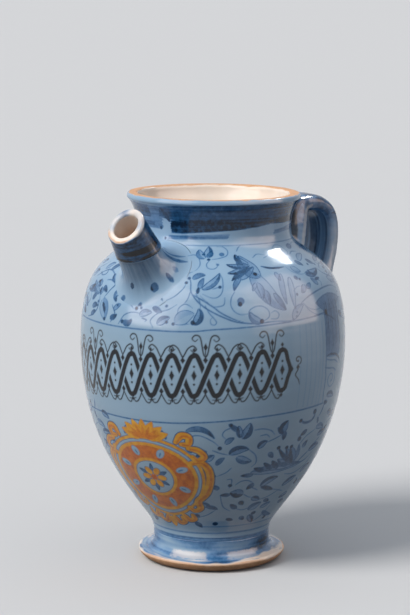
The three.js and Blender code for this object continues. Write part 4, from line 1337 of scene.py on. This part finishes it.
def paint_spout(canvas, collar_rows):
    """A dark blue collar with black and dark strokes, a pale lip worn on its low side, and a pale skirt.
    Under the collar the cone is darkened with painted shade and painted dark reflection.
    """
    shape = canvas.layers["blue"].shape
    row = np.arange(shape[0])[:, None]
    degree = canvas.columns[None, :]
    bristles = wobble(*shape, (2.4, 60), 81)
    blots = wobble(*shape, (9, 16), 82)
    low_side = hump(off(degree, -90), 0, 62, 4)
    high_side = hump(off(degree, 64), 0, 26)
    lip_rows = 7 - 3 * low_side
    collar = soft((row - lip_rows) * CELL + bristles * 0.7)
    collar = collar * soft((collar_rows - 1 - row) * CELL + bristles * 0.6)
    blue = collar * (0.74 + 0.16 * bristles + 0.14 * blots)
    share = (row - lip_rows) / (collar_rows - lip_rows)
    around = off(degree, -135)
    for centre, width, tone, first, last in COLLAR_STROKES:
        ends = np.clip((around - first) / 12, 0, 1) * np.clip((last - around) / 12, 0, 1)
        black = tone == 1
        if black:
            from_middle = np.abs(around - (first + last) / 2) / ((last - first) / 2)
            width = width * np.sqrt(np.clip(1 - from_middle**2, 0, 1))
        inside = (width - np.abs(share - centre + 0.0016 * around)) * collar_rows * CELL + 0.3 * bristles
        cover = collar * soft(inside) * ends
        blue = np.maximum(blue, cover * tone)
        if black:
            canvas.lay_all("black_and_shade", cover * 0.95)
    # Under the collar the cone gets blue and black that fade downwards: painted shade and painted dark
    # reflection, with streaks in it
    below = np.clip(1 - (row - collar_rows) / 40, 0, 1) * (row >= collar_rows)
    streaks = wobble(*shape, (60, 5), 83)
    blue += below * (0.2 + 0.12 * streaks)
    canvas.lay_all("black_and_shade", np.clip(below * hump(around, 10, 70, 4) * (0.34 + 0.08 * streaks), 0, 1))
    canvas.lay_all("blue", np.clip(blue, 0, 1))
    wear = wobble(*shape, (4, 24), 85)
    edge = soft((lip_rows - 1 - row) * CELL + wear * 0.7)
    outer_half = soft((row - 1.6) * CELL + wear * 0.5)
    canvas.lay_all("worn", edge * outer_half * np.clip(low_side * 0.85 + 0.3 * wear - 0.12, 0, 1))
    pale = 0.66 + 0.3 * wobble(*shape, (6, 30), 86) + 0.3 * low_side - 0.5 * high_side
    canvas.lay_all("pale_glaze_and_sheen", edge * np.clip(pale, 0, 1))
    smudges = np.clip(0.1 + 0.3 * wobble(*shape, (8, 26), 87) + 0.3 * high_side, 0, 1)
    canvas.lay_all("blue", edge * (smudges * (1 - low_side)))
    canvas.at(0, canvas.lengths[-1])
    for place, first, last, width, tone in SKIRT_STROKES:
        stroke(canvas, [(place, -first), (place + 3, -last)], width, tone)
    stroke(canvas, "-133,-22 -133,-19 -133,-16", 3.6, 0.62, 0.8, 0.8)
    stroke(canvas, "-128,-21.4 -127,-19 -128,-16.6", 1.2, 0.95)


# Degrees round the strap, mm along it where a stroke starts and ends, width, layer and tone
# At the root the two black strokes are partly dark paint and partly painted shade and painted dark reflection
# in the corner by the neck; the pale stroke is a painted sheen on the root's near edge
STRAP_STROKES = (
    (24, 14, 34, 5.4, "black_and_shade", 0.85), (14, 16, 30, 2.0, "black_and_shade", 0.6), (30, 30, 46, 5.0, "blue", 0.8),
    (-38, 14, 46, 3.2, "blue", 0.7), (-12, 14, 47, 4.6, "pale_glaze_and_sheen", 0.42),
)


def paint_handle(canvas):
    """Blotted blue dashes over the strap's outer face and edges, and a streaky inner face darkened with
    painted shade. A painted sheen pales the near side of the lower strap and the root's near edge.
    """
    shape = canvas.layers["blue"].shape
    level = canvas.lengths[:, None]
    column = canvas.columns[None, :]
    total = float(canvas.lengths[-1])
    inner = hump(column, -90, 56, 6)
    bristles = wobble(*shape, (4, 14), 91)
    along_streaks = wobble(*shape, (120, 2.4), 92)
    blots = wobble(*shape, (7, 9), 93)
    cover = 0.1 + 0.5 * hump(level, total * 0.42, total * 0.2, 4)
    blue = (1 - inner) * (cover + 0.26 * blots + 0.14 * bristles) + inner * (0.2 + 0.22 * along_streaks)
    # Painted sheen: the near side of the lower strap is paler, with less blue and a pale glaze colour
    sheen_on_near_side = hump(column, 4, 46, 4) * np.clip((level - total * 0.5) / 12, 0, 1)
    canvas.lay_all("blue", np.clip(blue * (1 - 0.6 * sheen_on_near_side), 0, 1))
    canvas.lay_all("pale_glaze_and_sheen", sheen_on_near_side * np.clip(0.2 + 0.1 * blots, 0, 1))
    # The inner face's grey streaks, darkened with painted shade
    canvas.lay_all("black_and_shade", inner * np.clip(0.34 + 0.5 * along_streaks, 0, 0.8))
    for number in range(24):
        place = total * 0.2 + number * total * 0.78 / 24
        slant = 2.4 * sin(number * 2.1)
        middle = 66 + 34 * sin(number * 1.7)
        reach = 34 + 16 * sin(number * 1.3)
        dash = [(middle - reach, place - slant), (middle, place + 1.4), (middle + reach, place + slant)]
        fade = 1 if place < total * 0.56 else 0.6
        stroke(canvas, dash, 2.6 + 1.2 * sin(number * 3.1), (0.62 + 0.22 * cos(number * 1.9)) * fade)
    for place, first, last, width, layer, tone in STRAP_STROKES:
        route = [(place, first), (place - 2, (first + last) / 2), (place + 4, last)]
        stroke(canvas, route, width, tone, 0.8, 0.5, layer)
    # A painted pale sheen down the near side of the lower strap
    stroke(canvas, [(4, total * 0.62), (-4, total * 0.76), (-6, total * 0.95)], 5.0, 0.34, 0.4, 0.5, "pale_glaze_and_sheen")


# Materials

def node(tree, kind, values=None, **settings):
    """Adds a shader node. values sets its inputs by name or index, to numbers, colours or other outputs."""
    made = tree.nodes.new(kind)
    for name, value in settings.items():
        setattr(made, name, value)
    for name, value in (values or {}).items():
        socket = made.inputs[name]
        if isinstance(value, bpy.types.NodeSocket):
            tree.links.new(value, socket)
        else:
            socket.default_value = value
    return made


def math_node(tree, operation, a, b=0.0, c=0.0, clamp=False):
    return node(tree, "ShaderNodeMath", {0: a, 1: b, 2: c}, operation=operation, use_clamp=clamp).outputs[0]


def mixed(tree, factor, first, second):
    return node(tree, "ShaderNodeMix", {0: factor, 6: first, 7: second}, data_type="RGBA").outputs[2]


def noise(tree, place, scale, detail, roughness):
    values = {"Vector": place, "Scale": scale, "Detail": detail, "Roughness": roughness}
    return node(tree, "ShaderNodeTexNoise", values).outputs[0]


def ramp(tree, factor, stops):
    made = node(tree, "ShaderNodeValToRGB", {0: factor})
    elements = made.color_ramp.elements
    while len(elements) < len(stops):
        elements.new(0.5)
    for element, (position, colour) in zip(elements, stops):
        element.position = position
        element.color = colour
    return made.outputs[0]


def srgb(*channels):
    """A colour given as 0 to 255 in sRGB, for a shader."""
    shares = [v / 255 for v in channels]
    return (*(v / 12.92 if v <= 0.04 else ((v + 0.055) / 1.055) ** 2.4 for v in shares), 1.0)


GROUND = srgb(140, 174, 204)
GROUND_PALE = srgb(156, 184, 207)
GROUND_BAND = srgb(148, 174, 194)
INSIDE_GLAZE = srgb(252, 240, 228)
CREAM = srgb(240, 218, 198)
CLAY = srgb(230, 184, 142)
CLAY_DARK = srgb(178, 120, 78)
WASH = srgb(98, 140, 182)
BLUE = srgb(44, 92, 136)
DARK_BLUE = srgb(12, 34, 56)
# Black of the paint; the same colour is laid as painted shade and painted dark reflection under the spout's
# collar, on the strap's inner face and at its root
BLACK_AND_SHADE = srgb(10, 15, 24)
YELLOW = srgb(228, 168, 36)
YELLOW_DEEP = srgb(210, 134, 20)
ORANGE = srgb(214, 116, 22)
ORANGE_DEEP = srgb(178, 80, 14)


def glaze(name):
    """Tin glaze over clay, with the painted layers of Brush and Enamel on it."""
    # The layers hold paint and wear, and also painted shade and painted sheen
    material = bpy.data.materials.new(name)
    material.use_nodes = True
    tree = material.node_tree
    tree.nodes.clear()
    place = node(tree, "ShaderNodeTexCoord").outputs["Object"]
    channels = []
    for attribute in ("Brush", "EnamelAndSheen"):
        colour = node(tree, "ShaderNodeAttribute", attribute_name=attribute).outputs["Color"]
        channels += node(tree, "ShaderNodeSeparateColor", {0: colour}).outputs[:3]
    blue, black_and_shade, worn, yellow, orange, pale_glaze_and_sheen = channels

    patches = noise(tree, place, 26, 4, 0.6)
    base = mixed(tree, math_node(tree, "MULTIPLY_ADD", patches, 2.4, -0.8, True), GROUND, GROUND_PALE)
    height = node(tree, "ShaderNodeSeparateXYZ", {0: place}).outputs["Z"]
    below_shoulder = math_node(tree, "MULTIPLY_ADD", height, -50.0, 8.4, True)
    base = mixed(tree, math_node(tree, "MULTIPLY", below_shoulder, 0.8), base, GROUND_BAND)
    watery = math_node(tree, "MULTIPLY_ADD", noise(tree, place, 420, 3, 0.6), 0.9, 0.55)
    density = math_node(tree, "MULTIPLY", blue, watery, clamp=True)
    pigment = ramp(tree, density, [(0.0, WASH), (0.3, WASH), (0.62, BLUE), (1.0, DARK_BLUE)])
    base = mixed(tree, math_node(tree, "MULTIPLY", density, 3.0, clamp=True), base, pigment)
    stain = math_node(tree, "MULTIPLY_ADD", noise(tree, place, 260, 4, 0.65), 3.4, -1.2, True)
    base = mixed(tree, yellow, base, mixed(tree, stain, YELLOW, YELLOW_DEEP))
    base = mixed(tree, orange, base, mixed(tree, stain, ORANGE, ORANGE_DEEP))
    base = mixed(tree, black_and_shade, base, BLACK_AND_SHADE)
    cream = mixed(tree, math_node(tree, "MULTIPLY_ADD", patches, 2.0, -0.6, True), INSIDE_GLAZE, CREAM)
    base = mixed(tree, pale_glaze_and_sheen, base, cream)
    base = mixed(tree, worn, base, mixed(tree, noise(tree, place, 300, 5, 0.7), CLAY_DARK, CLAY))

    waves = noise(tree, place, 55, 2, 0.4)
    surface = math_node(tree, "MULTIPLY_ADD", noise(tree, place, 900, 2, 0.5), 0.05, waves)
    surface = math_node(tree, "MULTIPLY_ADD", density, 0.06, surface)
    bump = node(tree, "ShaderNodeBump", {"Strength": 0.35, "Distance": 0.0006, "Height": surface}).outputs[0]
    roughness = math_node(tree, "MULTIPLY_ADD", worn, 0.6, 0.14)
    shader = node(tree, "ShaderNodeBsdfPrincipled", {
        "Base Color": base, "Roughness": roughness, "IOR": 1.5, "Normal": bump}).outputs[0]
    node(tree, "ShaderNodeOutputMaterial", {"Surface": shader})
    return material


# Stage, lamps and camera

FLOOR_COLOUR = srgb(214, 213, 213)
BACKDROP_COLOUR = srgb(213, 213, 215)
FLOOR_BOUNCE = srgb(96, 97, 100)
DOME_COLOUR = (0.86, 0.92, 1.0, 1)


def shown_rays(tree):
    """1 for the rays that show the surroundings, 0 for those that light the jar."""
    path = node(tree, "ShaderNodeLightPath").outputs
    return math_node(tree, "MAXIMUM", path["Is Camera Ray"],
                     math_node(tree, "MAXIMUM", path["Is Glossy Ray"], path["Is Transmission Ray"]))


def make_floor():
    bpy.ops.mesh.primitive_plane_add(size=80, location=(0, 0, 0))
    floor = bpy.context.object
    floor.name = "studio_floor"
    material = bpy.data.materials.new("studio_floor")
    material.use_nodes = True
    tree = material.node_tree
    shader = tree.nodes["Principled BSDF"]
    tree.links.new(mixed(tree, shown_rays(tree), FLOOR_BOUNCE, FLOOR_COLOUR), shader.inputs["Base Color"])
    shader.inputs["Roughness"].default_value = 1
    shader.inputs["Specular IOR Level"].default_value = 0
    floor.data.materials.append(material)


def make_world():
    """A dome that lights the jar softly, more from above, and shows as a pale backdrop."""
    world = bpy.data.worlds.new("studio")
    world.use_nodes = True
    tree = world.node_tree
    tree.nodes.clear()
    direction = node(tree, "ShaderNodeTexCoord").outputs["Generated"]
    upward = node(tree, "ShaderNodeSeparateXYZ", {0: direction}).outputs["Z"]
    strength = math_node(tree, "MULTIPLY_ADD", upward, 0.38, 0.27)
    fill = node(tree, "ShaderNodeBackground", {"Color": DOME_COLOUR, "Strength": strength}).outputs[0]
    backdrop = node(tree, "ShaderNodeBackground", {"Color": BACKDROP_COLOUR, "Strength": 1.0}).outputs[0]
    mix = node(tree, "ShaderNodeMixShader", {0: shown_rays(tree), 1: fill, 2: backdrop}).outputs[0]
    node(tree, "ShaderNodeOutputWorld", {"Surface": mix})
    bpy.context.scene.world = world


def view_axes():
    azimuth = radians(CAMERA_AZIMUTH_DEG)
    return Vector((cos(azimuth), sin(azimuth), 0)), Vector((sin(azimuth), -cos(azimuth), 0))


def from_camera(degrees_right, degrees_up):
    """The direction towards a place, in degrees to the camera's right and above the floor."""
    right, toward = view_axes()
    level = cos(radians(degrees_up))
    return (toward * cos(radians(degrees_right)) * level + right * sin(radians(degrees_right)) * level
            + Vector((0, 0, sin(radians(degrees_up)))))


def lamp(name, kind, place, aim, strength, colour, reflected=True, lighting=True):
    light = bpy.data.lights.new(name, kind)
    light.energy = strength
    light.color = colour
    made = bpy.data.objects.new(name, light)
    made.location = place
    made.rotation_euler = (aim - place).to_track_quat("-Z", "Y").to_euler()
    made.visible_camera = False
    made.visible_glossy = reflected
    made.visible_diffuse = lighting
    bpy.context.scene.collection.objects.link(made)
    return light


def sheen(name, place, aim, wide, high, brightness, colour):
    """A softbox that only shows as a reflection."""
    light = lamp(name, "AREA", place, aim, brightness * pi * wide * high, colour, lighting=False)
    light.shape = "RECTANGLE"
    light.size = wide
    light.size_y = high


# Softboxes: name, degrees right and up, metres away, width, height, brightness, colour
SHEENS = (
    ("left_sheen", -54, 31, 1.5, 1.36, 1.4, 3.0, (1.0, 0.84, 0.78)),
    ("key_sheen", -60, 15, 1.45, 0.9, 0.34, 2.4, (1.0, 0.92, 0.9)),
    ("right_sheen", 67, 33, 1.5, 2.2, 1.8, 1.5, (1.0, 0.74, 0.6)),
    ("right_core_sheen", 72, 31, 1.45, 1.6, 1.6, 1.6, (1.0, 0.74, 0.6)),
    ("top_sheen", -92, 64, 1.5, 1.3, 0.6, 2.4, (1.0, 0.9, 0.86)),
    ("window_sheen", 142, 47.6, 1.5, 0.33, 0.27, 34, (1, 1, 1)),
)
# The panel at the right fades towards the floor: bottom, top and brightness of each strip
PANEL_STEPS = ((0.001, 0.03, 0.1), (0.03, 0.06, 0.25), (0.06, 0.1, 0.4), (0.1, 0.14, 0.55), (0.14, 0.52, 0.7))


def make_lamps():
    right, toward = view_axes()
    middle = Vector((0, 0, 0.13))
    key = lamp("key", "SUN", middle + from_camera(-55, 43), middle, 2.45, (1.0, 0.985, 0.96), reflected=False)
    key.angle = radians(26)
    for name, azimuth, rise, away, wide, high, brightness, colour in SHEENS:
        sheen(name, middle + from_camera(azimuth, rise) * away, middle, wide, high, brightness, colour)
    for number, (low, high, brightness) in enumerate(PANEL_STEPS):
        panel = right * 0.45 + toward * 0.067 + Vector((0, 0, (low + high) / 2))
        sheen(f"panel_sheen_{number}", panel, panel - right, 0.258, high - low, brightness, (0.98, 0.95, 1.0))


def make_camera():
    right, toward = view_axes()
    up = Vector((0, 0, 1))
    pitch, roll = radians(CAMERA_PITCH_DEG), radians(CAMERA_ROLL_DEG)
    forward = -(toward * cos(pitch) + up * sin(pitch))
    above = right.cross(forward)
    rolled_right = right * cos(roll) + above * sin(roll)
    rolled_up = above * cos(roll) - right * sin(roll)
    place = (toward * CAMERA_DISTANCE + up * CAMERA_HEIGHT - right * CAMERA_LEFT) * MM
    data = bpy.data.cameras.new("photo_view")
    data.sensor_fit = "VERTICAL"
    data.sensor_height = 36
    data.lens = FOCAL_PX / FRAME_HEIGHT_PX * data.sensor_height
    camera = bpy.data.objects.new("photo_view", data)
    axes = Matrix((rolled_right, rolled_up, -forward)).transposed()
    camera.matrix_world = Matrix.Translation(place) @ axes.to_4x4()
    bpy.context.scene.collection.objects.link(camera)
    bpy.context.scene.camera = camera


make_camera()
make_floor()
make_world()
make_lamps()

PIECES = (
    (make_body, "body", "body_glaze"),
    (make_foot, "foot", "foot_glaze"),
    (make_spout, "spout", "spout_glaze"),
    (make_handle, "handle", "handle_glaze"),
)
for make, cad_node, slot_name in PIECES:
    piece = make()
    piece.data.materials.append(glaze(slot_name))
    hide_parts(cad_node)
    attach(piece, "root")

scene = bpy.context.scene
scene.view_settings.view_transform = "Standard"
